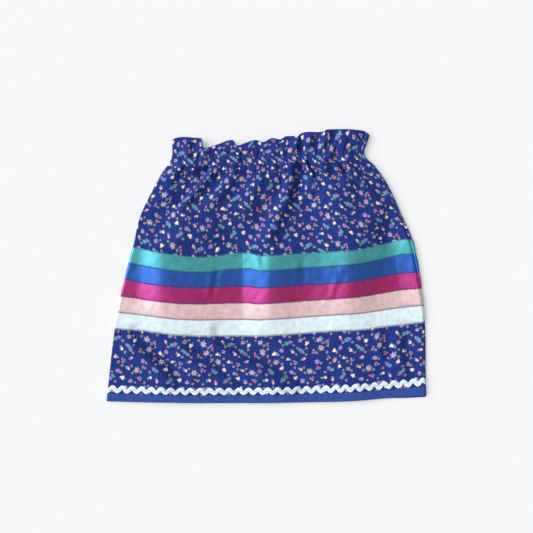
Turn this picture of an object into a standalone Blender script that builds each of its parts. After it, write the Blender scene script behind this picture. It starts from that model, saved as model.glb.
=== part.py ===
"""A little girl's ribbon skirt of printed cotton, lying flat on a table.

The skirt is a tube of two panels, front and back, sewn together at two side seams. A casing with elastic
gathers the waist and leaves a ruffle standing above it. Five satin ribbons go round the skirt edge to
edge, a row of rickrack runs near the hem, and a plain band binds the hem edge.

The front lies on the back. +X is the wearer's left, +Y points to the waist and +Z is up. The origin is on
the table, under the middle of the skirt. Sizes are in millimetres.
"""

import math

import bmesh
import bpy
import numpy as np

METRES = 0.001

# Cloth
CLOTH = 1.2          # wall of a panel
TRIM = 1.0           # thickness of a ribbon, the rickrack and the hem band
GAP = 0.3            # clearance between two pieces at a seam or lying on each other
LAYER_GAP = 0.4      # least room between the front and the back inside the tube
TRIM_BED = TRIM + GAP

# Lengths down the middle of the skirt, measured from the gathered neck of the ruffle
RUFFLE = 24.0
CASING = 20.0
RIBBONS_TOP = 137.7
BAND_TOP = 323.6
HEM = 334.7
PANEL_END = HEM - TRIM_BED

# Each ribbon: its name, the width that shows, and its colour
RIBBONS = (
    ("teal", 18.9, (0.10, 0.45, 0.44)),
    ("royal", 22.9, (0.05, 0.18, 0.58)),
    ("magenta", 18.7, (0.50, 0.03, 0.22)),
    ("pink", 22.9, (0.76, 0.50, 0.50)),
    ("white", 23.2, (0.72, 0.86, 0.88)),
)
RIBBONS_FOOT = RIBBONS_TOP + sum(width for _, width, _ in RIBBONS)

# The rickrack
RICKRACK_DOWN = 317.5    # its middle line
RICKRACK_PITCH = 13.0
RICKRACK_WIDTH = 7.0     # of the braid itself, measured down the skirt
RICKRACK_HEIGHT = 11.2   # over its waves

# The two side edges, row by row down the skirt, with the radius of the roll there, how far the front stands
# off the table in the middle, and how far the back comes up round the right roll to the side seam on top
OUTLINE_COLUMNS = ("down", "left_x", "left_y", "right_x", "right_y", "roll", "loft", "seam_over")
OUTLINE = (
    (-24.0, -127.3, 170.0, 138.8, 177.0, 3.0, 10.2, 6.2),
    (-9.0, -127.0, 158.0, 134.6, 163.5, 3.2, 10.8, 6.4),
    (0.0, -127.4, 148.2, 131.6, 155.0, 3.2, 11.4, 6.4),
    (8.0, -130.4, 140.2, 134.2, 146.8, 3.3, 12.2, 6.4),
    (19.0, -138.6, 129.4, 145.2, 136.0, 3.4, 12.6, 6.5),
    (42.0, -150.9, 107.7, 162.3, 111.8, 3.2, 11.6, 6.2),
    (81.0, -169.4, 69.9, 181.4, 71.3, 2.6, 9.4, 5.8),
    (137.7, -180.0, 26.1, 197.2, 34.8, 2.1, 7.2, 5.4),
    (156.6, -184.8, 7.2, 201.2, 18.6, 2.0, 6.7, 4.8),
    (179.5, -190.8, -17.1, 206.0, -8.4, 1.9, 6.3, 4.0),
    (198.2, -195.5, -36.0, 208.6, -25.9, 1.9, 6.1, 3.2),
    (221.1, -200.2, -60.3, 212.0, -50.9, 1.8, 5.8, 2.4),
    (244.3, -204.6, -83.3, 213.8, -74.5, 1.8, 5.6, 1.9),
    (317.5, -213.9, -165.0, 214.9, -154.8, 1.8, 5.3, 1.6),
    (334.7, -215.2, -181.6, 215.1, -173.4, 1.8, 5.0, 1.5),
)

# How far each course of the cloth sags below the straight line between its two ends, across the skirt
SAG_COLUMNS = ("across", "at_top_ribbon", "at_middle_ribbon", "at_last_ribbon", "at_hem")
SAG_DOWN = (RIBBONS_TOP, 179.5, RIBBONS_FOOT, HEM)
SAG = (
    (0.00, 0.0, 0.0, 0.0, 0.0),
    (0.10, 9.0, 8.3, 4.3, 2.1),
    (0.20, 15.3, 13.2, 10.5, 3.5),
    (0.27, 16.5, 13.8, 12.5, 4.6),
    (0.35, 12.6, 13.2, 13.2, 5.3),
    (0.41, 11.7, 13.1, 13.8, 5.8),
    (0.46, 16.2, 15.5, 14.2, 6.2),
    (0.52, 16.1, 15.4, 13.4, 6.4),
    (0.60, 14.7, 13.4, 12.0, 6.5),
    (0.70, 12.9, 12.2, 9.5, 6.5),
    (0.80, 11.7, 9.0, 8.4, 5.3),
    (0.86, 7.6, 5.5, 5.5, 3.6),
    (0.93, 1.4, 0.7, 2.8, 2.2),
    (0.97, -1.6, -0.3, 1.1, 0.9),
    (1.00, 0.0, 0.0, 0.0, 0.0),
)

# The ruffle's upper edge, which stands in lobes of uneven height
RUFFLE_COLUMNS = ("x", "top_y")
RUFFLE_EDGE = (
    (-127.3, 169.8),
    (-124.4, 172.0),
    (-89.0, 172.3),
    (-86.4, 169.8),
    (-84.4, 159.2),
    (-65.9, 163.8),
    (-48.3, 169.6),
    (-44.3, 169.2),
    (-39.6, 162.4),
    (-26.7, 166.5),
    (-14.6, 169.8),
    (-5.1, 167.1),
    (8.4, 172.5),
    (17.8, 170.6),
    (27.3, 175.0),
    (36.7, 175.0),
    (39.8, 172.0),
    (44.8, 177.5),
    (75.9, 181.3),
    (82.6, 184.1),
    (117.7, 183.9),
    (133.9, 180.9),
    (138.8, 176.6),
)

# The gathers of the waist on the front: where each valley crosses the neck, its depth, its half width, and
# how far it runs up into the ruffle and down the skirt
GATHER_COLUMNS = ("x", "depth", "half_width", "up", "down")
GATHERS = (
    (-119.0, 3.2, 2.8, 10.0, 20.0),
    (-102.5, 4.6, 3.0, 16.0, 32.0),
    (-89.5, 3.8, 2.8, 22.0, 22.0),
    (-77.5, 4.2, 3.0, 9.0, 28.0),
    (-64.5, 3.2, 2.8, 14.0, 24.0),
    (-51.5, 4.0, 3.0, 12.0, 32.0),
    (-40.5, 2.6, 2.6, 17.0, 14.0),
    (-31.5, 4.2, 2.6, 16.0, 32.0),
    (-17.0, 3.4, 3.0, 16.0, 22.0),
    (-3.0, 4.2, 2.8, 14.0, 40.0),
    (13.5, 4.8, 2.8, 20.0, 42.0),
    (27.0, 3.0, 2.8, 12.0, 18.0),
    (42.5, 5.4, 3.0, 26.0, 44.0),
    (60.0, 4.4, 2.8, 22.0, 38.0),
    (77.5, 4.0, 3.0, 24.0, 36.0),
    (92.5, 4.6, 2.8, 18.0, 32.0),
    (107.5, 3.8, 2.8, 14.0, 30.0),
    (121.5, 3.6, 2.6, 20.0, 24.0),
)

# The longer folds of the front, seen from above: each runs from its start through its middle to its end.
# A trough has a positive depth, a ridge a negative one.
FOLD_COLUMNS = (
    "start_x", "start_y", "middle_x", "middle_y", "end_x", "end_y", "half_width", "depth",
)
FOLDS = (
    (-111.8, 141.0, -122.6, 122.6, -148.0, 101.0, 5.0, 2.6),
    (-76.7, 136.1, -110.4, 114.5, -150.9, 87.5, 6.0, 2.8),
    (-65.9, 130.0, -80.7, 103.7, -105.0, 74.0, 5.0, 2.4),
    (-47.0, 110.4, -79.4, 76.7, -112.0, 32.0, 14.0, 2.6),
    (-36.2, 135.0, -34.8, 124.0, -37.5, 110.0, 5.5, 2.2),
    (-1.1, 137.4, -5.1, 96.9, -38.9, 36.2, 7.0, 3.0),
    (12.4, 144.2, 19.2, 110.4, 1.6, 83.4, 4.5, 2.4),
    (42.0, 146.0, 34.0, 103.7, 31.3, 70.0, 5.6, 5.0),
    (32.0, 84.0, 20.0, 56.0, 6.0, 18.0, 7.0, 3.6),
    (54.3, 141.5, 58.3, 128.0, 66.4, 115.8, 4.2, 2.4),
    (78.6, 146.9, 90.7, 119.9, 109.6, 101.0, 4.6, 2.8),
    (90.7, 152.0, 100.2, 133.4, 117.7, 111.8, 4.4, 2.6),
    (119.0, 146.0, 143.0, 114.5, 174.0, 60.0, 9.0, 3.2),
    (24.6, 121.2, 8.0, 74.0, -19.0, 22.0, 8.0, -2.6),
    (80.0, 104.0, 92.0, 66.0, 84.0, 24.0, 22.0, -2.0),
    (-118.0, 90.0, -134.0, 56.0, -158.0, 24.0, 10.0, -1.6),
    (-190.0, -88.0, -153.0, -114.0, -117.0, -157.0, 8.0, 1.5),
    (-92.0, -114.0, -70.0, -132.0, -36.0, -157.0, 7.0, 1.3),
    (-80.0, -92.0, -20.0, -118.0, 48.0, -157.0, 8.0, 1.5),
    (84.0, -120.0, 90.0, -140.0, 96.0, -160.0, 7.0, 0.9),
    (196.0, -84.0, 190.0, -112.0, 196.0, -150.0, 9.0, 1.2),
)

FOLD_PIECES = 10       # straight pieces that a fold's curved line is measured along
FOLD_IN = 0.22         # share of its length over which a fold deepens
FOLD_OUT = 0.62        # share of its length after which it fades
GATHER_WIDENING = 60.0
GATHER_AT_TOP = 0.25   # share of a gather's depth that is left where it ends in the ruffle

# The slow swells that cross the ribbons from edge to edge of the front
SWELL_COLUMNS = ("across", "lift")
SWELLS = (
    (0.000, 0.2),
    (0.045, 1.0),
    (0.125, -1.3),
    (0.250, 0.1),
    (0.370, 2.0),
    (0.430, 0.8),
    (0.487, -1.8),
    (0.550, 0.0),
    (0.610, 1.3),
    (0.690, 0.5),
    (0.770, -0.7),
    (0.860, 0.7),
    (0.935, 1.7),
    (0.985, 0.2),
    (1.000, 0.0),
)
SWELL_FROM = 70.0
SWELL_FULL = 128.0
SWELL_AT_HEM = 0.35

# The back's gathers lie on the table, so their ridges are flat underneath and only their valleys rise
BACK_GATHERS = 16
BACK_GATHER_DEPTH = 4.0
BACK_GATHER_HALF_WIDTH = 4.3
BACK_GATHER_END = 96.0
BACK_RUFFLE_SHARE = 0.90   # height of the back's ruffle against the front's
BACK_HEM_DROP = 1.6        # how much lower the back hem lies at its right end
HUMP_REACH = 16.0          # how far in from a side edge the front reaches its full loft
SETTLE = 0.5               # how softly the front settles on the back
STEP_RUN = 4.0             # length over which the back climbs onto its trims
BED_MARGIN = 1.0           # how far past a trim's edge its bed starts
RIBBONS_BED = RIBBONS_TOP - BED_MARGIN
RIBBONS_BED_END = RIBBONS_FOOT + BED_MARGIN
RICKRACK_BED = RICKRACK_DOWN - RICKRACK_HEIGHT / 2 - BED_MARGIN

# How finely the panels are divided
FRONT_RUN = 96
BACK_RUN = 48
OVER_RUN = 4
SEAM_ANGLE = 225.0
LEFT_ROLL_ANGLES = (225.0, 195.0, 165.0, 128.0)
RIGHT_ROLL_ANGLES = (300.0, 330.0)
WAIST_ROWS = (-RUFFLE, -16.0, -7.0, 0.0, 8.0, CASING, 31.0, 44.0, 60.0, 78.0)
YOKE_ROWS = (96.0, 115.0)
SKIRT_ROWS = (268.0, 290.0)

PRINT_BLUE = (0.03, 0.06, 0.27)
BAND_BLUE = (0.03, 0.09, 0.40)
RICKRACK_WHITE = (0.75, 0.88, 0.90)


def column(table, names, name):
    """One named column of a table."""
    place = names.index(name)
    return np.array([row[place] for row in table])


def smooth_step(low, high, value):
    """0 below low and 1 above high, with a soft passage between."""
    t = np.clip((np.asarray(value, dtype=float) - low) / (high - low), 0.0, 1.0)
    return t * t * (3.0 - 2.0 * t)


def smooth_curve(knots, values, at):
    """A smooth curve through the knots that never overshoots between two of them."""
    at = np.clip(np.asarray(at, dtype=float), knots[0], knots[-1])
    steps = np.diff(knots)
    slopes = np.diff(values) / steps
    tangents = np.concatenate([slopes[:1], (slopes[:-1] + slopes[1:]) / 2, slopes[-1:]])
    turning = slopes[:-1] * slopes[1:] <= 0
    tangents[1:-1][turning] = 0.0
    left = np.clip(np.searchsorted(knots, at, side="right") - 1, 0, len(steps) - 1)
    t = (at - knots[left]) / steps[left]
    start = (1 + 2 * t) * (1 - t) ** 2 * values[left] + t * (1 - t) ** 2 * steps[left] * tangents[left]
    end = t * t * (3 - 2 * t) * values[left + 1] - t * t * (1 - t) * steps[left] * tangents[left + 1]
    return start + end


def outline(name, down):
    """A value of the outline table at a distance down the skirt."""
    knots = column(OUTLINE, OUTLINE_COLUMNS, "down")
    return smooth_curve(knots, column(OUTLINE, OUTLINE_COLUMNS, name), down)


def sag(across, down):
    """How far a course hangs below the line between its ends."""
    places = column(SAG, SAG_COLUMNS, "across")
    bends = [smooth_curve(places, column(SAG, SAG_COLUMNS, name), across) for name in SAG_COLUMNS[1:]]
    down = max(down, 0.0)
    if down < RIBBONS_TOP:
        return bends[0] * smooth_step(0.0, RIBBONS_TOP, down)
    for index in range(len(SAG_DOWN) - 1):
        if down <= SAG_DOWN[index + 1]:
            share = (down - SAG_DOWN[index]) / (SAG_DOWN[index + 1] - SAG_DOWN[index])
            return bends[index] * (1 - share) + bends[index + 1] * share
    return bends[-1]


def course_y(across, down, ruffle_share=1.0):
    """The place along Y of a point on a course, across the skirt from 0 at the left to 1 at the right."""
    side_down = max(down, 0.0)
    ends = (1 - across) * outline("left_y", side_down) + across * outline("right_y", side_down)
    y = ends - sag(across, down)
    if down >= 0.0:
        return y
    top_x = column(RUFFLE_EDGE, RUFFLE_COLUMNS, "x")
    top_y = column(RUFFLE_EDGE, RUFFLE_COLUMNS, "top_y")
    edge = np.interp(top_x[0] + across * (top_x[-1] - top_x[0]), top_x, top_y)
    return y + (edge - y) * ruffle_share * (-down / RUFFLE)


def along_fold(line, x, y):
    """Distance from points to a fold's curved line, and how far along it they lie, from 0 to 1."""
    start, middle, end = line
    bend = 2 * middle - (start + end) / 2
    shares = np.linspace(0.0, 1.0, FOLD_PIECES + 1)[:, None]
    line = (1 - shares) ** 2 * start + 2 * shares * (1 - shares) * bend + shares ** 2 * end
    nearest = np.full(x.shape, np.inf)
    place = np.zeros(x.shape)
    for index in range(FOLD_PIECES):
        run = line[index + 1] - line[index]
        t = ((x - line[index, 0]) * run[0] + (y - line[index, 1]) * run[1]) / (run @ run)
        t = np.clip(t, 0.0, 1.0)
        distance = np.hypot(x - line[index, 0] - t * run[0], y - line[index, 1] - t * run[1])
        closer = distance < nearest
        nearest = np.where(closer, distance, nearest)
        place = np.where(closer, (index + t) / FOLD_PIECES, place)
    return nearest, place


def folds_depth(x, y):
    """The depth of the front's longer folds at points seen from above."""
    depth = np.zeros(x.shape)
    for row in FOLDS:
        fold = dict(zip(FOLD_COLUMNS, row))
        line = [np.array([fold[f"{place}_x"], fold[f"{place}_y"]]) for place in ("start", "middle", "end")]
        distance, place = along_fold(line, x, y)
        fade = smooth_step(0.0, FOLD_IN, place) * smooth_step(1.0, FOLD_OUT, place)
        depth += fold["depth"] * np.exp(-((distance / fold["half_width"]) ** 2)) * fade
    return depth


def gathers_depth(across, down):
    """The depth of the front's gathers, which fan out with the cloth below the waist."""
    neck_left, neck_right = outline("left_x", 0.0), outline("right_x", 0.0)
    width = outline("right_x", down) - outline("left_x", down)
    depth = np.zeros(across.shape)
    for row in GATHERS:
        gather = dict(zip(GATHER_COLUMNS, row))
        centre = (gather["x"] - neck_left) / (neck_right - neck_left)
        spread = gather["half_width"] * (1 + max(down, 0.0) / GATHER_WIDENING)
        up, reach = gather["up"], gather["down"]
        fade = 1 - (1 - GATHER_AT_TOP) * smooth_step(0.3 * up, up, -down)
        fade *= smooth_step(reach, 0.35 * reach, down)
        depth += gather["depth"] * fade * np.exp(-(((across - centre) * width / spread) ** 2))
    return depth


def back_gathers_depth(across, down):
    """How high the back's gathers rise off the table."""
    width = outline("right_x", down) - outline("left_x", down)
    depth = np.zeros(across.shape)
    if down >= BACK_GATHER_END:
        return depth
    for index in range(BACK_GATHERS):
        uneven_place = 0.22 * math.sin(2.4 * index + 0.8)
        uneven_reach = 0.4 * abs(math.sin(1.7 * index + 0.4))
        uneven_depth = 0.22 * math.cos(3.1 * index)
        centre = (index + 0.75 + uneven_place) / (BACK_GATHERS + 0.5)
        reach = BACK_GATHER_END * (0.55 + uneven_reach)
        full_depth = BACK_GATHER_DEPTH * (0.78 + uneven_depth)
        fade = float(smooth_step(reach, 0.12 * reach, max(down, 0.0)))
        spread = BACK_GATHER_HALF_WIDTH * (1 + max(down, 0.0) / 50.0)
        depth += full_depth * fade * np.exp(-(((across - centre) * width / spread) ** 2))
    edge = smooth_step(0.02, 0.06, across) * smooth_step(0.98, 0.94, across)
    return np.minimum(depth, BACK_GATHER_DEPTH) * edge


def back_bed(down):
    """How far the back panel lies off the table so that its trims fit under it."""
    ribbons = smooth_step(RIBBONS_BED - STEP_RUN, RIBBONS_BED, down)
    ribbons = ribbons * smooth_step(RIBBONS_BED_END + STEP_RUN, RIBBONS_BED_END, down)
    return TRIM_BED * float(ribbons + smooth_step(RICKRACK_BED - STEP_RUN, RICKRACK_BED, down))


def front_height(x, y, across, down):
    """Height of the front's outer surface over the table."""
    left, right = outline("left_x", down), outline("right_x", down)
    roll_top = back_bed(down) + 2 * outline("roll", down)
    from_edge = np.maximum(np.minimum(x - left, right - x) - outline("roll", down), 0.0)
    rise = 1 - np.exp(-((from_edge / HUMP_REACH) ** 2))
    places = column(SWELLS, SWELL_COLUMNS, "across")
    swell = smooth_curve(places, column(SWELLS, SWELL_COLUMNS, "lift"), across)
    strength = float(smooth_step(SWELL_FROM, SWELL_FULL, down))
    strength *= 1 - (1 - SWELL_AT_HEM) * float(smooth_step(RIBBONS_FOOT, HEM, down))
    depth = folds_depth(x, y) + gathers_depth(across, down)
    height = roll_top + (outline("loft", down) - roll_top - depth + swell * strength) * rise
    back_top = back_bed(down) + back_gathers_depth(across, down).max() + CLOTH
    lowest = (back_top + LAYER_GAP + CLOTH) * rise + roll_top * (1 - rise)
    return lowest + SETTLE * np.log1p(np.exp(np.clip((height - lowest) / SETTLE, -30, 30)))


def hem_drop(across, down):
    """How much lower the back lies than the front near the right end of the hem."""
    return BACK_HEM_DROP * smooth_step(0.86, 1.0, across) * float(smooth_step(RICKRACK_DOWN, HEM, down))


def around(angles):
    """Directions out of a rolled edge at angles round it."""
    return np.stack([np.cos(angles), np.zeros(len(angles)), np.sin(angles)], axis=1)


def outward(points, side):
    """Directions square to a course, pointing out of the tube: side is 1 on top and -1 underneath."""
    run = np.gradient(points, axis=0)
    normal = np.stack([-side * run[:, 2], np.zeros(len(run)), side * run[:, 0]], axis=1)
    return normal / np.linalg.norm(normal, axis=1, keepdims=True)


def over_right_edge(reaches, down):
    """Points of the top that lie at given reaches up round the right roll and back across the skirt."""
    left, right, roll = (float(outline(name, down)) for name in ("left_x", "right_x", "roll"))
    quarter = roll * math.pi / 2
    angles = np.minimum(reaches, quarter) / roll
    x = right - roll + roll * np.cos(angles) - np.maximum(reaches - quarter, 0.0)
    across = np.clip((x - left) / (right - left), 0.0, 1.0)
    y = course_y(across, down)
    on_roll = reaches < quarter
    z = np.where(on_roll, back_bed(down) + roll * (1 + np.sin(angles)), front_height(x, y, across, down))
    return np.stack([x, y, z], axis=1), angles, on_roll


def front_section(down):
    """One course of the front, from the left seam round the left edge and across to the right seam."""
    left, right, roll = (float(outline(name, down)) for name in ("left_x", "right_x", "roll"))
    angles = np.radians(LEFT_ROLL_ANGLES)
    rolled_x = left + roll * (1 + np.cos(angles))
    rolled_y = course_y(np.clip((rolled_x - left) / (right - left), 0.0, 1.0), down)
    rolled = np.stack([rolled_x, rolled_y, back_bed(down) + roll * (1 + np.sin(angles))], axis=1)
    widest = right - left - 2 * roll + roll * math.pi / 2
    seam = float(outline("seam_over", down))
    run, run_angles, on_roll = over_right_edge(np.linspace(widest, seam + GAP / 2, FRONT_RUN + 1), down)
    points = np.concatenate([rolled, run])
    normals = outward(points, 1)
    normals[:len(angles)] = around(angles)
    normals[len(angles):][on_roll] = around(run_angles)[on_roll]
    normals[-1] = around(run_angles[-1:])[0]
    return points, normals


def back_section(down):
    """One course of the back, from the left seam under the skirt and round the right edge to its seam."""
    left, right, roll = (float(outline(name, down)) for name in ("left_x", "right_x", "roll"))
    start = math.radians(SEAM_ANGLE) + GAP / roll
    angles = np.radians(RIGHT_ROLL_ANGLES)
    under = np.linspace(left + roll, right - roll, BACK_RUN + 1)
    first = left + roll + roll * math.cos(start)
    x = np.concatenate([[first], under, right - roll + roll * np.cos(angles)])
    across = np.clip((x - left) / (right - left), 0.0, 1.0)
    y = course_y(across, down, BACK_RUFFLE_SHARE) - hem_drop(across, down)
    z = back_bed(down) + back_gathers_depth(across, down)
    z[0] = back_bed(down) + roll * (1 + math.sin(start))
    z[-len(angles):] = back_bed(down) + roll * (1 + np.sin(angles))
    seam = float(outline("seam_over", down))
    over, over_angles, on_roll = over_right_edge(np.linspace(0.0, seam - GAP / 2, OVER_RUN + 1), down)
    y[-len(angles):] += (over[0, 1] - y[-1]) * (1 + np.sin(angles))
    points = np.concatenate([np.stack([x, y, z], axis=1), over])
    normals = outward(points, -1)
    normals[0] = around(np.array([start]))[0]
    normals[len(x) - len(angles):len(x)] = around(angles)
    normals[len(x):][on_roll] = around(over_angles)[on_roll]
    normals[-1] = around(over_angles[-1:])[0]
    return points, normals


class Panel:
    """A panel's courses: its rows down the skirt, with the outer points and outward directions of each."""

    def __init__(self, section, waist_rows, lower_rows, run, before_run):
        self.rows = np.array(waist_rows + lower_rows)
        courses = [section(down) for down in self.rows]
        self.points = np.array([points for points, _ in courses])
        self.normals = np.array([normals for _, normals in courses])
        total = self.points.shape[1]
        every = np.arange(total)
        in_run = (every > before_run) & (every < before_run + run)
        self.fine = every
        self.rolled = every[~in_run]
        self.coarse = every[~in_run | ((every - before_run) % 2 == 0)]
        self.fine_rows = len(waist_rows)

    def used(self, row):
        """The points of a row that the panel's wall has."""
        return self.fine if row < self.fine_rows else self.coarse

    def at(self, down, places=None, out=0.0):
        """Points on the panel at a distance down, moved out by a distance: places count its points."""
        row = int(np.clip(np.searchsorted(self.rows, down, side="right") - 1, 0, len(self.rows) - 2))
        share = (down - self.rows[row]) / (self.rows[row + 1] - self.rows[row])
        points = self.points[row] * (1 - share) + self.points[row + 1] * share
        normals = self.normals[row] * (1 - share) + self.normals[row + 1] * share
        moved = points + normals * out
        if places is None:
            return moved[self.coarse]
        coarse = moved[self.coarse]
        return np.stack([np.interp(places, self.coarse, coarse[:, axis]) for axis in range(3)], axis=1)


def make_material(name, colour, roughness):
    """A plain cloth finish."""
    material = bpy.data.materials.new(name)
    material.use_nodes = True
    material.diffuse_color = (*colour, 1.0)
    shader = material.node_tree.nodes["Principled BSDF"]
    shader.inputs["Base Color"].default_value = (*colour, 1.0)
    shader.inputs["Roughness"].default_value = roughness
    shader.inputs["Metallic"].default_value = 0.0
    return material


def add_solid(name, points, faces, material):
    """An object from points in millimetres, with all its faces turned outwards."""
    mesh = bpy.data.meshes.new(name)
    mesh.from_pydata((np.asarray(points) * METRES).tolist(), [], faces)
    shape = bmesh.new()
    shape.from_mesh(mesh)
    bmesh.ops.recalc_face_normals(shape, faces=shape.faces)
    shape.to_mesh(mesh)
    shape.free()
    mesh.materials.append(material)
    mesh.shade_smooth()
    mesh.set_sharp_from_angle(angle=math.radians(50))
    solid = bpy.data.objects.new(name, mesh)
    bpy.context.scene.collection.objects.link(solid)
    return solid


def zip_rows(upper, lower, upper_ids, lower_ids):
    """Triangles between two rows whose points may be differently spaced."""
    triangles = []
    i = j = 0
    while i < len(upper) - 1 or j < len(lower) - 1:
        upper_next = upper[i + 1] if i < len(upper) - 1 else math.inf
        lower_next = lower[j + 1] if j < len(lower) - 1 else math.inf
        if upper_next <= lower_next:
            triangles.append((upper_ids[i], lower_ids[j], upper_ids[i + 1]))
            i += 1
        else:
            triangles.append((upper_ids[i], lower_ids[j], lower_ids[j + 1]))
            j += 1
    return triangles


def add_panel(name, panel, material):
    """A panel's wall: its outer face, an inner face one cloth thickness in, and the cut edges."""
    points = []
    layers = []
    for depth in (0.0, CLOTH):
        layer = []
        for row in range(len(panel.rows)):
            used = panel.used(row)
            layer.append(list(range(len(points), len(points) + len(used))))
            points.extend(panel.points[row][used] - panel.normals[row][used] * depth)
        layers.append(layer)
    faces = []
    for layer in layers:
        for row in range(len(panel.rows) - 1):
            faces += zip_rows(panel.used(row), panel.used(row + 1), layer[row], layer[row + 1])
    outer, inner = layers
    for row in (0, -1):
        for k in range(len(outer[row]) - 1):
            faces.append((outer[row][k], outer[row][k + 1], inner[row][k + 1], inner[row][k]))
    for row in range(len(panel.rows) - 1):
        for end in (0, -1):
            faces.append((outer[row][end], outer[row + 1][end], inner[row + 1][end], inner[row][end]))
    return add_solid(name, points, faces, material)


def add_sweep(name, rings, material):
    """A bar whose cross-section is a ring of points: one ring at each station along it."""
    points = [point for ring in rings for point in ring]
    sides = len(rings[0])
    faces = []
    for station in range(len(rings) - 1):
        for k in range(sides):
            a = station * sides + k
            b = station * sides + (k + 1) % sides
            faces += [(a, b, a + sides), (b, b + sides, a + sides)]
    faces.append(tuple(range(sides)))
    faces.append(tuple(len(points) - sides + k for k in range(sides)))
    return add_solid(name, points, faces, material)


def add_ribbon(name, panel, top, foot, material):
    """A ribbon on a panel, a clearance off it and off the ribbons above and below."""
    above, below = top + GAP / 2, foot - GAP / 2
    corners = [
        panel.at(above, out=GAP),
        panel.at(below, out=GAP),
        panel.at(below, out=GAP + TRIM),
        panel.at(above, out=GAP + TRIM),
    ]
    return add_sweep(name, np.stack(corners, axis=1), material)


def add_hem_band(name, panel, material):
    """The hem band: it lies on the panel's lower edge and turns in under it."""
    lower = panel.at(PANEL_END)
    direction = lower - panel.at(PANEL_END - 4.0)
    direction /= np.linalg.norm(direction, axis=1, keepdims=True)
    normal = panel.at(PANEL_END, out=1.0) - lower
    corners = [
        panel.at(BAND_TOP, out=GAP),
        lower + normal * GAP + direction * GAP,
        lower - normal * CLOTH + direction * GAP,
        lower - normal * CLOTH + direction * TRIM_BED,
        lower + normal * TRIM_BED + direction * TRIM_BED,
        panel.at(BAND_TOP, out=TRIM_BED),
    ]
    return add_sweep(name, np.stack(corners, axis=1), material)


def add_rickrack(name, panel, stations_per_wave, material):
    """A strip of rickrack along a panel: a braid whose two edges run up and down in the same waves."""
    row = panel.at(RICKRACK_DOWN)
    lengths = np.concatenate([[0.0], np.cumsum(np.linalg.norm(np.diff(row, axis=0), axis=1))])
    waves = round(lengths[-1] / RICKRACK_PITCH)
    even = np.linspace(0.0, lengths[-1], waves * stations_per_wave + 1)
    on_rolls = np.interp(panel.rolled, panel.coarse, lengths)
    clear = [np.abs(on_rolls - a).min() > 0.2 * RICKRACK_PITCH / stations_per_wave for a in even]
    along = np.sort(np.concatenate([even[clear], on_rolls]))
    phase = 2 * math.pi * waves * along / lengths[-1] + math.pi / stations_per_wave
    swing = (RICKRACK_HEIGHT - RICKRACK_WIDTH) / 2
    half = RICKRACK_WIDTH / 2
    corners = ((-half, GAP), (half, GAP), (half, TRIM_BED), (-half, TRIM_BED))
    rings = []
    for place, wave in zip(np.interp(along, lengths, panel.coarse), np.sin(phase)):
        middle = RICKRACK_DOWN + swing * wave
        rings.append([panel.at(middle + side, [place], out)[0] for side, out in corners])
    return add_sweep(name, rings, material)


def build():
    """The whole skirt."""
    for old in list(bpy.data.objects):
        bpy.data.objects.remove(old, do_unlink=True)

    boundaries = [RIBBONS_TOP]
    for _, width, _ in RIBBONS:
        boundaries.append(boundaries[-1] + width)
    ribbon_rows = (RIBBONS_BED,) + tuple(boundaries[1:-1]) + (RIBBONS_BED_END,)
    hem_rows = (RICKRACK_BED, PANEL_END)
    lower = YOKE_ROWS + (RIBBONS_BED - STEP_RUN,) + ribbon_rows + (RIBBONS_BED_END + STEP_RUN,)
    lower += SKIRT_ROWS + (RICKRACK_BED - STEP_RUN,) + hem_rows
    front = Panel(front_section, WAIST_ROWS, lower, FRONT_RUN, len(LEFT_ROLL_ANGLES))
    back = Panel(back_section, WAIST_ROWS, lower, BACK_RUN, 1)

    cotton = make_material("printed cotton", PRINT_BLUE, 0.85)
    band = make_material("plain cotton", BAND_BLUE, 0.85)
    braid = make_material("rickrack braid", RICKRACK_WHITE, 0.7)
    for side, panel, stations_per_wave in (("front", front, 4), ("back", back, 2)):
        add_panel(f"{side}_panel", panel, cotton)
        for index, (colour_name, _, colour) in enumerate(RIBBONS):
            satin = make_material(f"{colour_name} satin {side}", colour, 0.35)
            name = f"{side}_ribbon_{colour_name}"
            add_ribbon(name, panel, boundaries[index], boundaries[index + 1], satin)
        add_rickrack(f"{side}_rickrack", panel, stations_per_wave, braid)
        add_hem_band(f"{side}_hem_band", panel, band)


build()
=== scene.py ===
"""Dresses a girl's ribbon skirt that lies flat: printed cotton, satin ribbons, rickrack and a hem band.

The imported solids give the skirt's size and place. Every panel and trim is made again here as thin cloth on
the same surface, with its finer creases, its sewing and its finish. Tables and helper functions work in
millimetres, and a mesh is turned into metres when it is made.
"""

import math

import bpy
import numpy as np
from bpy.props import FloatProperty, FloatVectorProperty, PointerProperty
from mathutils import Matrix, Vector, noise


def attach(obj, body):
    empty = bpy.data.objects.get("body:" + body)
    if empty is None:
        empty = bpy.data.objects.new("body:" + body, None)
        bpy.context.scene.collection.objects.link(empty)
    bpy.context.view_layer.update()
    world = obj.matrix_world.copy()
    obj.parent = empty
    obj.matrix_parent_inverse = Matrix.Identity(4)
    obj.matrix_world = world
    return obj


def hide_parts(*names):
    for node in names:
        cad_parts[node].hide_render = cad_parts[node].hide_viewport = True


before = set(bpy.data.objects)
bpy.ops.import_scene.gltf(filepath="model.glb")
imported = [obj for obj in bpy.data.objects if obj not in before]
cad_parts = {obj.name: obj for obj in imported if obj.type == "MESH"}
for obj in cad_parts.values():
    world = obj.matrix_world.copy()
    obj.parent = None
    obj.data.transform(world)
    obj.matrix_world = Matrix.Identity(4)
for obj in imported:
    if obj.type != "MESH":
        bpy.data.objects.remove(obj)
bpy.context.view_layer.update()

bl_info = {
    "name": "Ribbon Skirt",
    "version": (1, 0, 0),
    "blender": (4, 5, 0),
    "location": "3D View > Sidebar > Ribbon Skirt",
    "description": "Printed panels, satin ribbons, rickrack, hem bands and sewing for a skirt that lies flat",
    "category": "Object",
}

METRES = 0.001
BODY = "root"
SIDES = ("front", "back")

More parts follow.
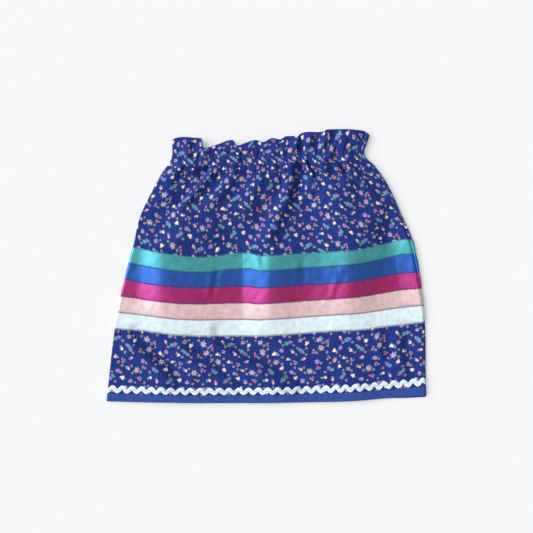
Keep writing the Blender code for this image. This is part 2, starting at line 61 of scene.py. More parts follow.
# Lengths down the middle of the skirt, measured from the gathered neck of the ruffle
RUFFLE = 24.0
CASING = 20.0
RIBBONS_TOP = 137.7
BAND_TOP = 323.6
HEM = 334.7

# Each ribbon: its name, the width that shows, how metallic its sheen is, and its colour
RIBBONS = (
    ("teal", 21.2, 0.50, (0.110, 0.55, 0.50)),
    ("royal", 20.7, 0.60, (0.055, 0.145, 0.57)),
    ("magenta", 21.8, 0.44, (0.64, 0.018, 0.115)),
    ("pink", 20.5, 0.14, (0.95, 0.63, 0.58)),
    ("white", 22.2, 0.0, (0.70, 0.84, 0.86)),
)

RIBBONS_FOOT = RIBBONS_TOP + sum(row[1] for row in RIBBONS)

# How strongly the face of each ribbon shines, and the tint of that shine
SHINES = {
    "teal": (0.65, (0.12, 0.30, 1.0)),
    "royal": (0.80, (0.05, 0.35, 1.0)),
    "magenta": (0.9, (0.30, 0.28, 1.0)),
    "pink": (0.50, (0.15, 0.55, 1.0)),
    "white": (0.05, (0.80, 0.90, 1.0)),
}

# The thread along the top of each ribbon, and the thread under the lowest one. The darker ones also stand for
# the shade of the stitch holes along the ribbons' edges: partly painted shade
THREAD_COLOURS_WITH_HOLE_SHADE = {
    "teal": (0.10, 0.45, 0.43),
    "royal": (0.02, 0.07, 0.26),
    "magenta": (0.10, 0.02, 0.12),
    "pink": (0.30, 0.03, 0.15),
    "white": (0.46, 0.25, 0.32),
    "lowest": (0.70, 0.80, 0.84),
}

# How far the stitches draw in the top edge of each ribbon between its scallops, and the lowest one's foot
BITES = {"teal": 0.2, "royal": 0.5, "magenta": 0.7, "pink": 1.8, "white": 1.7, "lowest": 1.2}

# The rickrack
RICKRACK_DOWN = 317.5
RICKRACK_PITCH = 13.0
RICKRACK_WIDTH = 5.9
RICKRACK_HEIGHT = 10.8

# The two side edges, row by row down the skirt, with the radius of the roll there, how far the front stands
# off the table in the middle, and how far the back comes up round the right roll to the side seam on top
OUTLINE_COLUMNS = ("down", "left_x", "left_y", "right_x", "right_y", "roll", "loft", "seam_over")
OUTLINE = (
    (-24.0, -127.3, 170.0, 138.8, 177.0, 3.0, 10.2, 6.2),
    (-9.0, -127.0, 158.0, 134.6, 163.5, 3.2, 10.8, 6.4),
    (0.0, -127.4, 148.2, 131.6, 155.0, 3.2, 11.4, 6.4),
    (8.0, -130.4, 140.2, 134.2, 146.8, 3.3, 12.2, 6.4),
    (19.0, -138.6, 129.4, 145.2, 136.0, 3.4, 12.6, 6.5),
    (42.0, -150.9, 107.7, 162.3, 111.8, 3.2, 11.6, 6.2),
    (81.0, -169.4, 69.9, 181.4, 71.3, 2.6, 9.4, 5.8),
    (137.7, -180.0, 26.1, 197.2, 34.8, 2.1, 7.2, 5.4),
    (156.6, -184.8, 7.2, 201.2, 18.6, 2.0, 6.7, 4.8),
    (179.5, -190.8, -17.1, 206.0, -8.4, 1.9, 6.3, 4.0),
    (198.2, -195.5, -36.0, 208.6, -25.9, 1.9, 6.1, 3.2),
    (221.1, -200.2, -60.3, 212.0, -50.9, 1.8, 5.8, 2.4),
    (244.3, -204.6, -83.3, 213.8, -74.5, 1.8, 5.6, 1.9),
    (317.5, -213.9, -165.0, 214.9, -154.8, 1.8, 5.3, 1.6),
    (334.7, -215.2, -181.6, 215.1, -173.4, 1.8, 5.0, 1.5),
)

# How far each course of the cloth sags below the straight line between its two ends, across the skirt
SAG_COLUMNS = ("across", "at_top_ribbon", "at_middle_ribbon", "at_last_ribbon", "at_hem")
SAG_DOWN = (RIBBONS_TOP, 179.5, RIBBONS_FOOT, HEM)
SAG = (
    (0.00, 0.0, 0.0, 0.0, 0.0),
    (0.10, 9.0, 8.3, 4.3, 2.1),
    (0.20, 15.3, 13.2, 10.5, 3.5),
    (0.27, 16.5, 13.8, 12.5, 4.6),
    (0.35, 12.6, 13.2, 13.2, 5.3),
    (0.41, 11.7, 13.1, 13.8, 5.8),
    (0.46, 16.2, 15.5, 14.2, 6.2),
    (0.52, 16.1, 15.4, 13.4, 6.4),
    (0.60, 14.7, 13.4, 12.0, 6.5),
    (0.70, 12.9, 12.2, 9.5, 6.5),
    (0.80, 11.7, 9.0, 8.4, 5.3),
    (0.86, 7.6, 5.5, 5.5, 3.6),
    (0.93, 1.4, 0.7, 2.8, 2.2),
    (0.97, -1.6, -0.3, 1.1, 0.9),
    (1.00, 0.0, 0.0, 0.0, 0.0),
)

# The ruffle's upper edge, which stands in lobes of uneven height
RUFFLE_COLUMNS = ("x", "top_y")
RUFFLE_EDGE = (
    (-127.3, 169.8), (-124.4, 172.0), (-89.0, 172.3), (-86.4, 169.8), (-84.4, 159.2),
    (-65.9, 163.8), (-48.3, 169.6), (-44.3, 169.2), (-39.6, 162.4), (-26.7, 166.5),
    (-14.6, 169.8), (-5.1, 167.1), (8.4, 172.5), (17.8, 170.6), (27.3, 175.0),
    (36.7, 175.0), (39.8, 172.0), (44.8, 177.5), (75.9, 181.3), (82.6, 184.1),
    (117.7, 183.9), (133.9, 180.9), (138.8, 176.6),
)

# The gathers of the waist on the front: where each valley crosses the neck, its depth, its half width, and
# how far it runs up into the ruffle and down the skirt
GATHER_COLUMNS = ("x", "depth", "half_width", "up", "down")
GATHERS = (
    (-119.0, 0.67, 2.8, 10.0, 20.0),
    (-102.5, 2.13, 3.0, 16.0, 32.0),
    (-89.5, 1.31, 2.8, 22.0, 22.0),
    (-77.5, 1.27, 3.0, 9.0, 28.0),
    (-64.5, 1.64, 2.8, 14.0, 24.0),
    (-51.5, 2.05, 3.0, 12.0, 32.0),
    (-40.5, 1.09, 2.6, 17.0, 14.0),
    (-31.5, 1.19, 2.6, 16.0, 32.0),
    (-17.0, 1.77, 3.0, 16.0, 22.0),
    (-3.0, 1.5, 2.8, 14.0, 40.0),
    (13.5, 1.17, 2.8, 20.0, 42.0),
    (27.0, 2.32, 2.8, 12.0, 18.0),
    (42.5, 2.68, 3.0, 26.0, 44.0),
    (60.0, 1.47, 2.8, 22.0, 38.0),
    (77.5, 2.24, 3.0, 24.0, 36.0),
    (92.5, 1.8, 2.8, 18.0, 32.0),
    (107.5, 1.59, 2.8, 14.0, 30.0),
    (121.5, 1.22, 2.6, 20.0, 24.0),
)

# The longer folds of the front, seen from above: each runs from its start through its middle to its end.
# A trough has a positive depth, a ridge a negative one.
FOLD_COLUMNS = ("start_x", "start_y", "middle_x", "middle_y", "end_x", "end_y", "half_width", "depth")
FOLDS = (
    (-112.2, 141.4, -123.0, 123.0, -148.4, 101.4, 4.7, 0.88),
    (-76.4, 135.7, -110.1, 114.1, -150.6, 87.1, 9.0, 2.29),
    (-65.8, 129.9, -80.6, 103.6, -104.9, 73.9, 5.0, 0.36),
    (-47.0, 110.4, -79.4, 76.7, -112.0, 32.0, 15.1, 0.39),
    (-36.1, 135.0, -34.7, 124.0, -37.4, 110.0, 5.9, 0.33),
    (-0.9, 137.3, -4.9, 96.8, -38.7, 36.1, 5.6, 0.45),
    (13.4, 144.0, 20.2, 110.2, 2.6, 83.2, 3.1, 2.64),
    (42.2, 146.0, 34.2, 103.7, 31.5, 70.0, 8.4, 4.67),
    (31.9, 84.0, 19.9, 56.0, 5.9, 18.0, 7.1, 0.54),
    (54.3, 141.5, 58.3, 128.0, 66.4, 115.8, 4.4, 0.47),
    (78.6, 146.9, 90.7, 119.9, 109.6, 101.0, 4.6, 0.42),
    (90.4, 151.8, 99.9, 133.2, 117.4, 111.6, 6.0, 1.77),
    (119.2, 146.1, 143.2, 114.6, 174.2, 60.1, 13.4, 3.52),
    (24.7, 121.2, 8.1, 74.0, -18.9, 22.0, 7.4, -0.39),
    (80.7, 104.0, 92.7, 66.0, 84.7, 24.0, 32.8, -1.86),
    (-117.9, 90.0, -133.9, 56.0, -157.9, 24.0, 9.7, -0.24),
    (-190.0, -88.0, -153.0, -114.0, -117.0, -157.0, 11.6, 1.43),
    (-92.0, -114.0, -70.0, -132.0, -36.0, -157.0, 7.0, 0.22),
    (-80.1, -92.1, -20.1, -118.1, 47.9, -157.1, 9.5, 1.5),
    (84.0, -120.0, 90.0, -140.0, 96.0, -160.0, 7.1, 0.99),
    (196.1, -84.0, 190.1, -112.0, 196.1, -150.0, 9.8, 0.76),
)

# The slopes between ridges and valleys, which only the thin cloth has, laid out as the folds are. Where the
# depth is positive the cloth falls to the right across the line, and where it is negative it climbs.
SLOPES = (
    # the waist and yoke, from left to right
    (-119.5, 166.0, -119.5, 154.0, -121.5, 142.0, 7.5, 1.24),
    (-102.0, 170.0, -101.5, 158.0, -103.0, 142.0, 7.5, 1.45),
    (-107.1, 139.1, -116.1, 125.1, -138.1, 106.1, 10.1, 2.27),
    (-90.3, 136.3, -109.3, 112.3, -139.3, 85.3, 9.2, 1.83),
    (-77.6, 158.1, -77.6, 150.1, -75.6, 142.1, 7.2, 0.95),
    (-67.8, 137.8, -94.8, 106.8, -125.8, 69.8, 5.9, -2.81),
    (-63.5, 134.4, -85.5, 105.4, -110.5, 68.4, 8.0, -0.64),
    (-49.4, 125.5, -69.4, 100.5, -97.4, 71.5, 10.1, -1.52),
    (-48.8, 97.8, -61.8, 88.8, -79.8, 71.8, 6.1, 0.31),
    (-42.6, 140.2, -36.6, 130.2, -28.6, 116.2, 11.0, 0.89),
    (-13.5, 126.9, -26.5, 104.9, -46.5, 78.9, 14.1, -1.02),
    (-17.3, 166.9, -15.3, 158.9, -13.3, 149.9, 5.9, 0.27),
    (-2.9, 148.0, -4.9, 120.0, -11.9, 96.0, 4.8, 0.13),
    (-8.2, 111.6, -17.2, 77.6, -41.2, 45.6, 10.5, 0.32),
    (27.3, 118.3, 9.3, 74.3, -18.7, 22.3, 12.2, -1.9),
    (13.8, 164.0, 13.8, 140.0, 12.8, 120.0, 3.8, 0.39),
    (41.1, 145.8, 39.1, 111.8, 31.1, 73.8, 9.7, 2.33),
    (26.8, 83.8, 17.8, 47.8, 6.8, 15.8, 14.1, 0.6),
    (42.3, 180.0, 42.3, 166.0, 45.3, 150.0, 4.8, 1.51),
    (52.1, 130.0, 54.1, 117.0, 54.1, 100.0, 8.4, -1.24),
    (52.5, 143.1, 57.5, 131.1, 66.5, 118.1, 2.9, 2.19),
    (64.6, 179.9, 63.6, 167.9, 62.6, 155.9, 7.4, 1.27),
    (78.8, 148.5, 84.8, 126.5, 102.8, 104.5, 8.1, 1.37),
    (87.1, 184.3, 84.1, 168.3, 75.1, 154.3, 7.5, 1.16),
    (91.2, 163.6, 96.2, 131.6, 127.2, 95.6, 9.2, 1.05),
    (102.2, 146.2, 112.2, 124.2, 137.2, 100.2, 2.7, -1.57),
    (107.6, 172.1, 108.6, 160.1, 110.6, 148.1, 5.6, 0.33),
    (110.0, 150.0, 120.0, 132.0, 154.0, 98.0, 6.1, 0.64),
    (124.1, 138.1, 136.1, 126.1, 153.1, 112.1, 3.3, -0.17),
    (133.9, 178.0, 130.9, 168.0, 125.9, 158.0, 5.5, 0.6),
    (143.5, 109.8, 157.5, 81.8, 165.5, 43.8, 10.0, 0.3),
    (63.7, 100.5, 79.7, 66.5, 85.7, 26.5, 30.0, -2.0),
    (-117.5, 83.8, -127.5, 55.8, -139.5, 23.8, 20.0, -2.0),
    (-148.2, 84.1, -152.2, 74.1, -158.2, 62.1, 8.1, 0.5),
    (-84.0, 66.0, -88.0, 44.0, -92.0, 20.0, 14.0, 0.26),
    (-114.8, 145.8, -132.8, 119.8, -152.8, 89.8, 20.0, 1.9),
    (-59.3, 59.8, -65.3, 43.8, -69.3, 19.8, 26.0, 1.3),
    (-29.8, 46.1, -23.8, 34.1, -17.8, 12.1, 12.7, -0.19),
    (149.5, 77.9, 155.5, 53.9, 157.5, 21.9, 23.9, 1.57),
    # the ribbons
    (-69.0, 0.0, -72.0, -20.0, -78.0, -44.0, 5.4, 0.28),
    (-8.0, 24.0, -9.0, 12.0, -6.0, -2.0, 4.8, 0.14),
    (128.0, 8.0, 112.0, -2.0, 98.0, -12.0, 5.4, 0.25),
    (100.0, -14.0, 96.0, -24.0, 88.0, -34.0, 5.4, 0.2),
    (94.0, -38.0, 86.0, -46.0, 76.0, -54.0, 5.4, 0.2),
    (-176.0, -36.0, -184.0, -48.0, -192.0, -60.0, 6.0, 0.2),
    (46.0, 16.0, 44.0, -4.0, 48.0, -26.0, 7.5, 0.2),
    # between the ribbons and the hem
    (-191.9, -85.9, -149.9, -123.9, -111.9, -159.9, 13.6, 2.48),
    (-118.4, -94.5, -80.4, -130.5, -28.4, -160.5, 11.5, 1.46),
    (-102.0, -144.0, -96.0, -154.0, -90.0, -164.0, 6.2, 0.31),
    (-82.3, -88.5, -22.3, -122.5, 49.7, -160.5, 15.6, 2.7),
    (20.3, -143.5, 34.3, -151.5, 50.3, -161.5, 8.3, 1.09),
    (156.0, -86.0, 158.0, -106.0, 162.0, -130.0, 11.8, 1.13),
    (183.3, -83.9, 186.3, -117.9, 198.3, -151.9, 14.5, 1.26),
    (206.8, -94.0, 203.8, -108.0, 203.8, -126.0, 8.0, 0.43),
    (-21.9, -87.8, 0.1, -101.8, 26.1, -123.8, 10.7, -0.39),
)
SLOPE_HEIGHT = 4.8         # height of a slope's profile for each unit of depth in its table
SLOPE_IN = 0.16            # share of its length over which a slope builds up
SLOPE_OUT = 0.74           # share of its length after which it fades
FOLD_IN = 0.22             # the same two for a fold
FOLD_OUT = 0.62
FOLD_PIECES = 10           # straight pieces that a fold's curved line is measured along
FOLD_FELT = 5.25           # how many half widths away a fold is still worked out
RUFFLE_GATHERS = 0.4       # share of the solids' gathers that shows in the ruffle and the casing
YOKE_GATHERS = 0.6         # and below them
YOKE_FROM = (10.0, 30.0)   # distances down between which the one share passes into the other
GATHER_WIDENING = 60.0     # distance down over which a gather widens by its own width
GATHER_UP_FULL = 0.3       # share of its reach up over which a gather keeps its depth
GATHER_DOWN_FULL = 0.35    # and of its reach down
GATHER_AT_TOP = 0.25       # share of a gather's depth that is left where it ends in the ruffle

# The slow swells that cross the ribbons: steady rises to the right between longer, gentler falls
SWELL_COLUMNS = ("x", "lift")
SWELLS = (
    (-240.0, -1.5), (-177.0, -1.7), (-170.0, -1.3), (-143.0, 2.6), (-137.0, 2.9),
    (-39.0, -2.8), (-33.5, -2.9), (-29.0, -2.4), (2.0, 2.9), (7.0, 3.1),
    (50.0, -0.5), (58.0, -0.6), (79.0, 0.6), (105.0, 3.4), (111.0, 3.8),
    (160.0, -3.2), (170.0, -4.0), (177.0, -4.1), (240.0, -4.1),
)
SWELL_GROWS = (70.0, 128.0)
SWELL_FADES = (198.0, 240.0)
SWELL_AT_HEM = 0.4

# Along its right seam the front stands up: a long climb toward the seam and a short fall to it
SEAM_RIDGE = 2.2
SEAM_RIDGE_CLIMB = 27.0
SEAM_RIDGE_FALL = 3.2

# Soft unevenness of the front between its folds: the height of the bumps, their length and their seed
BUMPS = ((0.55, 26.0, 3.1), (0.28, 11.0, 7.7))
RIBBONS_CALM = 0.6         # share of it that the ribbons flatten
CALM_MARGIN = 8.0          # distance over which they start to do so

# The back's gathers lie on the table, so their ridges are flat underneath and only their valleys rise
BACK_GATHERS = 16
BACK_GATHER_DEPTH = 4.0
BACK_GATHER_DEPTHS = (0.78, 0.22)   # mean depth of a gather against that, and how far it varies
BACK_GATHER_STRAY = 0.22   # how far one strays from its even place, as a share of a gather
BACK_GATHER_HALF_WIDTH = 4.3
BACK_GATHER_WIDENING = 50.0
BACK_GATHER_END = 96.0     # no gather comes further down than this
BACK_GATHER_REACH = (0.55, 0.4)     # share of that which the shortest reaches, and how much more others do
BACK_GATHER_FULL = 0.12    # share of its reach down over which a gather keeps its depth
BACK_GATHER_EDGE = (0.02, 0.06)   # shares of the course at either end over which the gathers begin
BACK_RUFFLE_SHARE = 0.90   # height of the back's ruffle against the front's
BACK_HEM_DROP = 2.4        # how much lower the back hem lies at its right end
BACK_HEM_FROM = 0.86       # share of the course from which it does
HUMP_REACH = 16.0          # how far in from a side edge the front reaches its full loft
SETTLE = 0.5               # how softly the front settles on the back
RISE_MOST = 30.0           # the most that the cloth rises over the lowest it may lie, against that
STEP_RUN = 4.0             # length over which the back climbs onto its trims
BED_MARGIN = 1.0           # how far past a trim's edge its bed starts
RIBBON_ROOM = 0.60         # room under the back panel for its ribbons
RICKRACK_ROOM = 0.80       # and for its rickrack and hem band
LAYERS = 1.5               # the back's cloth, the front's cloth and a little room between them
HEM_LAYERS = 2.5           # the same where both hems are turned in
HEM_TURN = (16.0, 9.0)     # how far over the hem the turned-in cloth begins and how far it is full
RIBBONS_BED = (RIBBONS_TOP - BED_MARGIN, RIBBONS_FOOT + BED_MARGIN)
RICKRACK_BED = RICKRACK_DOWN - RICKRACK_HEIGHT / 2 - BED_MARGIN

# Small tucks that the elastic draws in along the casing's two stitch lines: each line's distance down, and
# how far its tucks are set over
TUCK_LINES = ((0.0, 0.0), (CASING, 0.45))
TUCKS = 46
TUCK_DEPTH = 2.0
TUCK_HALF_WIDTH = (0.92, 0.69)   # of the narrowest, and how much wider the widest is
TUCK_REACH = 4.5
TUCK_EDGE = 0.03           # share of the course at either end that has none
TUCK_LONGER = 1.3          # how much longer than the shortest the longest one is
TUCK_STRAY = 0.42          # how far one strays from its even place, as a share of a tuck
TUCK_LEAN = 0.10           # how far one leans
TUCK_LEAST = 0.12          # depth of the shallowest against the deepest

# How finely the panels are divided
FRONT_RUN = 330
BACK_RUN = 172
EDGE_RUN = 18
OVER_RUN = 9
NEAR_SEAM = 12.0
PANEL_END = HEM - 0.7      # the panels end inside the fold of their hem bands
ROW_ZONES = ((-RUFFLE, 60.0, 1.35), (60.0, 140.0, 2.8), (140.0, PANEL_END, 4.6))   # from, to and step

# Angles round the side rolls, counted from the right over the top: where the left seam lies, and where each
# roll's points end or start, with their number
SEAM_ANGLE = 225.0
FRONT_LEFT_ROLL = (98.0, 10)
BACK_LEFT_ROLL = (262.0, 4)
BACK_RIGHT_ROLL = (278.0, 350.0, 7)
SEAM_GAP = 0.3
SEAM_GROOVE = 0.55
SEAM_GROOVE_WIDTH = 1.15

PLACES_BLEND = 14.0        # distance down over which the print's places along the courses are evened out
PRINT_FANS = 0.55          # how far the print's width follows each course, against the hem

# A ribbon's section: the rows near its edges, how far in the rows of its middle start and their number, the
# distance over which it rises to its thickness and over which to its crown, and how far its outer and its
# inner face lie off the panel at the least
EDGE_ROWS = (0.0, 0.35, 1.2)
MIDDLE_FROM = 3.0
MIDDLE_ROWS = 6
EDGE_ROUND = 0.35
CROWN_FROM = (0.3, 6.0)
CROWN = 0.14
OVER_PANEL = (0.08, 0.04)

# The stitched edges of the ribbons and the unevenness of their satin
FIRST_STITCH = 0.8
ZIGZAG_OVER = 0.4          # how far a zigzag lies toward the ribbon above
UNDER_NEXT = 0.4           # how far a ribbon's foot lies under the scallops of the next
BITE_REACH = 2.4           # how far into the ribbon a bite is felt
BITE_SHARPNESS = 1.3
PUCKER_HEIGHT = 0.16
PUCKER_REACH = 2.2
PUCKERS_WANDER = (1.3, 19.0)   # how far puckers wander from their pitch, and over what length
PUCKERS_FADE = (0.4, 7.3)      # how much weaker some are, and over what length
RIPPLE_LENGTH = 10.0
RIPPLE_HEIGHT = 0.30
RIPPLE_FROM = (0.3, 5.0)
RIPPLE_LEAN = 0.6          # how far a ripple leans along the ribbon for each step down
RIPPLE_DOWN = 0.7          # its size along the ribbon against its size down
RIPPLE_SEED = 6.0

UNDERSIDE = 0.05           # how far the undersides of the braid and of the hem band lie off the panel

# The braid's section, from one edge to the other, and how it fans round its bends
BRAID_SHARES = (-1.0, -0.95, -0.80, -0.60, -0.40, -0.18, 0.0, 0.18, 0.40, 0.60, 0.80, 0.95, 1.0)
BRAID_EDGE = 0.10
BRAID_MIDDLE = 0.24
BRAID_CROWN = 0.32
BRAID_RIBS = (0.10, 1.25)  # height of its lengthwise ribs and how many lie on each half
BRAID_SWING_LESS = 0.4     # height lost to the rounding of its bends
BRAID_START = 0.4          # where in a wave it starts
BRAID_FAN = 0.26
BRAID_STATIONS = {"front": 18, "back": 12}

# The hem band's way round the hem
BAND_OFF = 0.06            # how far the band lies off the panel
BAND_EDGE = (0.10, 0.3)    # height of its cut edge, and how far in it has its full thickness
BAND_FLAT = (2.0, 1.5, 5)  # its even rows: how far below its edge they begin, off the fold they end, number
BAND_INNER_FOLD = 0.3      # how far its inner face goes round the hem against its outer one
BAND_ROUND = (75.0, -90.0, 7)   # angles of the fold and its rows
BAND_BULGE = 0.22
BAND_INSIDE = 7.0          # how far it comes up inside

# How far stitches lie off the panel, the space between straight ones, and what their line leaves at its end
LIFTS = {"ribbon": 0.42, "rickrack": 0.55, "casing": 0.10}
SPACES = {"rickrack": 0.5, "casing": 0.6}
LINE_END = 1.5

# The modelled stitch: its sides, where it is cut so that it can bend, and how its ends taper and dive
STITCH_SIDES = 6
STITCH_CUT = 0.3
STITCH_TAPER = 0.6
STITCH_DIVE = 1.1

_made = {}


# ---------------------------------------------------------------- the cloth's surface

def column(table, names, name):
    """One named column of a table."""
    place = names.index(name)
    return np.array([row[place] for row in table])


def smooth_step(low, high, value):
    """0 below low and 1 above high, with a soft passage between."""
    t = np.clip((np.asarray(value, dtype=float) - low) / (high - low), 0.0, 1.0)
    return t * t * (3.0 - 2.0 * t)


def smooth_curve(knots, values, at):
    """A smooth curve through the knots that never overshoots between two of them."""
    at = np.clip(np.asarray(at, dtype=float), knots[0], knots[-1])
    steps = np.diff(knots)
    slopes = np.diff(values) / steps
    tangents = np.concatenate([slopes[:1], (slopes[:-1] + slopes[1:]) / 2, slopes[-1:]])
    turning = slopes[:-1] * slopes[1:] <= 0
    tangents[1:-1][turning] = 0.0
    left = np.clip(np.searchsorted(knots, at, side="right") - 1, 0, len(steps) - 1)
    t = (at - knots[left]) / steps[left]
    start = (1 + 2 * t) * (1 - t) ** 2 * values[left] + t * (1 - t) ** 2 * steps[left] * tangents[left]
    end = t * t * (3 - 2 * t) * values[left + 1] - t * t * (1 - t) * steps[left] * tangents[left + 1]
    return start + end


def bell(distance, half_width):
    """1 in the middle, fading to both sides."""
    return np.exp(-((distance / half_width) ** 2))


def uneven(index, pace, start=0.0):
    """A number from -1 to 1 that differs from one index to the next."""
    return math.sin(pace * index + start)


def curve(table, names, key, name, at):
    """One column of a table as a smooth curve over another."""
    return smooth_curve(column(table, names, key), column(table, names, name), at)


def outline(name, down):
    """A value of the outline table at a distance down the skirt."""
    return float(curve(OUTLINE, OUTLINE_COLUMNS, "down", name, down))


def edges(down):
    """Where a course's left and right edges lie, and the radius of the roll there."""
    return [outline(name, down) for name in ("left_x", "right_x", "roll")]


def width_at(down):
    """The width of a course seen from above."""
    return outline("right_x", down) - outline("left_x", down)


def sag(across, down):
    """How far a course hangs below the line between its ends."""
    bends = [curve(SAG, SAG_COLUMNS, "across", name, across) for name in SAG_COLUMNS[1:]]
    down = max(down, 0.0)
    if down < RIBBONS_TOP:
        return bends[0] * smooth_step(0.0, RIBBONS_TOP, down)
    for index in range(len(SAG_DOWN) - 1):
        if down <= SAG_DOWN[index + 1]:
            share = (down - SAG_DOWN[index]) / (SAG_DOWN[index + 1] - SAG_DOWN[index])
            return bends[index] * (1 - share) + bends[index + 1] * share
    return bends[-1]


def course_y(across, down, ruffle_share=1.0):
    """The place along Y of a point on a course, across the skirt from 0 at the left to 1 at the right."""
    side_down = max(down, 0.0)
    ends = (1 - across) * outline("left_y", side_down) + across * outline("right_y", side_down)
    y = ends - sag(across, down)
    if down >= 0.0:
        return y
    first_x, last_x = RUFFLE_EDGE[0][0], RUFFLE_EDGE[-1][0]
    edge = curve(RUFFLE_EDGE, RUFFLE_COLUMNS, "x", "top_y", first_x + across * (last_x - first_x))
    return y + (edge - y) * ruffle_share * (-down / RUFFLE)


def along_fold(line, x, y):
    """Points' distances from a fold's curved line, positive to its right, and their places along it."""
    start, middle, end = line
    bend = 2 * middle - (start + end) / 2
    shares = np.linspace(0.0, 1.0, FOLD_PIECES + 1)[:, None]
    path = (1 - shares) ** 2 * start + 2 * shares * (1 - shares) * bend + shares ** 2 * end
    nearest = np.full(x.shape, np.inf)
    place = np.zeros(x.shape)
    for index in range(FOLD_PIECES):
        from_x, from_y = x - path[index, 0], y - path[index, 1]
        run = path[index + 1] - path[index]
        t = np.clip((from_x * run[0] + from_y * run[1]) / (run @ run), 0.0, 1.0)
        off_x, off_y = from_x - t * run[0], from_y - t * run[1]
        distance = np.hypot(off_x, off_y) * np.where(off_y * run[0] - off_x * run[1] < 0, -1.0, 1.0)
        closer = np.abs(distance) < np.abs(nearest)
        nearest = np.where(closer, distance, nearest)
        place = np.where(closer, (index + t) / FOLD_PIECES, place)
    return nearest, place


def folds_near(table, x, y):
    """The rows of a table that come near some points, with the points' distances from each line, positive to
    its right, and their places along it."""
    for row in table:
        fold = dict(zip(FOLD_COLUMNS, row))
        line = np.array(row[:6]).reshape(3, 2)
        reach = FOLD_FELT * fold["half_width"]
        low, high = line.min(axis=0) - reach, line.max(axis=0) + reach
        if ((x > low[0]) & (x < high[0]) & (y > low[1]) & (y < high[1])).any():
            yield (fold, *along_fold(line, x, y))


def folds_depth(x, y):
    """The depth of the longer folds at points seen from above."""
    depth = np.zeros(x.shape)
    for fold, distance, place in folds_near(FOLDS, x, y):
        fade = smooth_step(0.0, FOLD_IN, place) * smooth_step(1.0, FOLD_OUT, place)
        depth += fold["depth"] * bell(distance, fold["half_width"]) * fade
    return depth


def slopes_height(x, y):
    """How far the slopes between ridges and valleys lift the cloth."""
    height = np.zeros(x.shape)
    for slope, distance, place in folds_near(SLOPES, x, y):
        fade = smooth_step(0.0, SLOPE_IN, place) * smooth_step(1.0, SLOPE_OUT, place)
        share = distance / slope["half_width"]
        height -= slope["depth"] * SLOPE_HEIGHT * share * bell(share, 1.0) * fade
    return height


def gathers_depth(across, down):
    """The depth of the front's gathers, which fan out with the cloth below the waist."""
    neck_left = outline("left_x", 0.0)
    width = width_at(down)
    depth = np.zeros(across.shape)
    for row in GATHERS:
        gather = dict(zip(GATHER_COLUMNS, row))
        centre = (gather["x"] - neck_left) / width_at(0.0)
        spread = gather["half_width"] * (1 + max(down, 0.0) / GATHER_WIDENING)
        up, reach = gather["up"], gather["down"]
        fade = 1 - (1 - GATHER_AT_TOP) * smooth_step(GATHER_UP_FULL * up, up, -down)
        fade *= smooth_step(reach, GATHER_DOWN_FULL * reach, down)
        depth += gather["depth"] * fade * bell((across - centre) * width, spread)
    return depth


def tucks_depth(across, down):
    """The depth of the small tucks that the elastic draws in at the neck and at the casing's lower line."""
    width = width_at(down)
    depth = np.zeros(across.shape)
    for line, shift in TUCK_LINES:
        if abs(down - line) > 5 * TUCK_REACH:
            continue
        for index in range(TUCKS):
            reach = TUCK_REACH * (1 + TUCK_LONGER * uneven(index, 1.9, shift) ** 2)
            place = index + shift + TUCK_STRAY * uneven(index, 2.9, 5 * shift)
            lean = TUCK_LEAN * uneven(index, 3.7, 2 * shift) * (down - line) / width
            centre = TUCK_EDGE + (1 - 2 * TUCK_EDGE) * place / TUCKS + lean
            strength = TUCK_LEAST + (1 - TUCK_LEAST) * uneven(index, 1.3, 2 * shift) ** 2
            narrowest, wider = TUCK_HALF_WIDTH
            spread = narrowest + wider * abs(uneven(index, 2.2, math.pi / 2))
            tuck = TUCK_DEPTH * strength * bell(down - line, reach)
            depth += tuck * bell((across - centre) * width, spread)
    return depth


def back_gathers_depth(across, down):
    """How high the back's gathers rise off the table."""
    depth = np.zeros(across.shape)
    if down >= BACK_GATHER_END:
        return depth
    below = max(down, 0.0)
    mean, varies = BACK_GATHER_DEPTHS
    shortest, longer = BACK_GATHER_REACH
    for index in range(BACK_GATHERS):
        stray = BACK_GATHER_STRAY * uneven(index, 2.4, 0.8)
        centre = (index + 0.75 + stray) / (BACK_GATHERS + 0.5)
        reach = BACK_GATHER_END * (shortest + longer * abs(uneven(index, 1.7, 0.4)))
        full_depth = BACK_GATHER_DEPTH * (mean + varies * uneven(index, 3.1, math.pi / 2))
        fade = float(smooth_step(reach, BACK_GATHER_FULL * reach, below))
        spread = BACK_GATHER_HALF_WIDTH * (1 + below / BACK_GATHER_WIDENING)
        depth += full_depth * fade * bell((across - centre) * width_at(down), spread)
    edge = smooth_step(*BACK_GATHER_EDGE, across) * smooth_step(*BACK_GATHER_EDGE, 1 - across)
    return np.minimum(depth, BACK_GATHER_DEPTH) * edge


def back_bed(down):
    """How far the back panel lies off the table so that its trims fit under it."""
    start, end = RIBBONS_BED
    ribbons = smooth_step(start - STEP_RUN, start, down) * smooth_step(end + STEP_RUN, end, down)
    hem = smooth_step(RICKRACK_BED - STEP_RUN, RICKRACK_BED, down)
    return float(RIBBON_ROOM * ribbons + RICKRACK_ROOM * hem)


def undulation(x, y, length, seed):
    """Soft unevenness of lying cloth, between -1 and 1, over bumps of a given length."""
    waves = [noise.noise(Vector((a / length, b / length, seed))) for a, b in zip(x, y)]
    return np.array(waves)


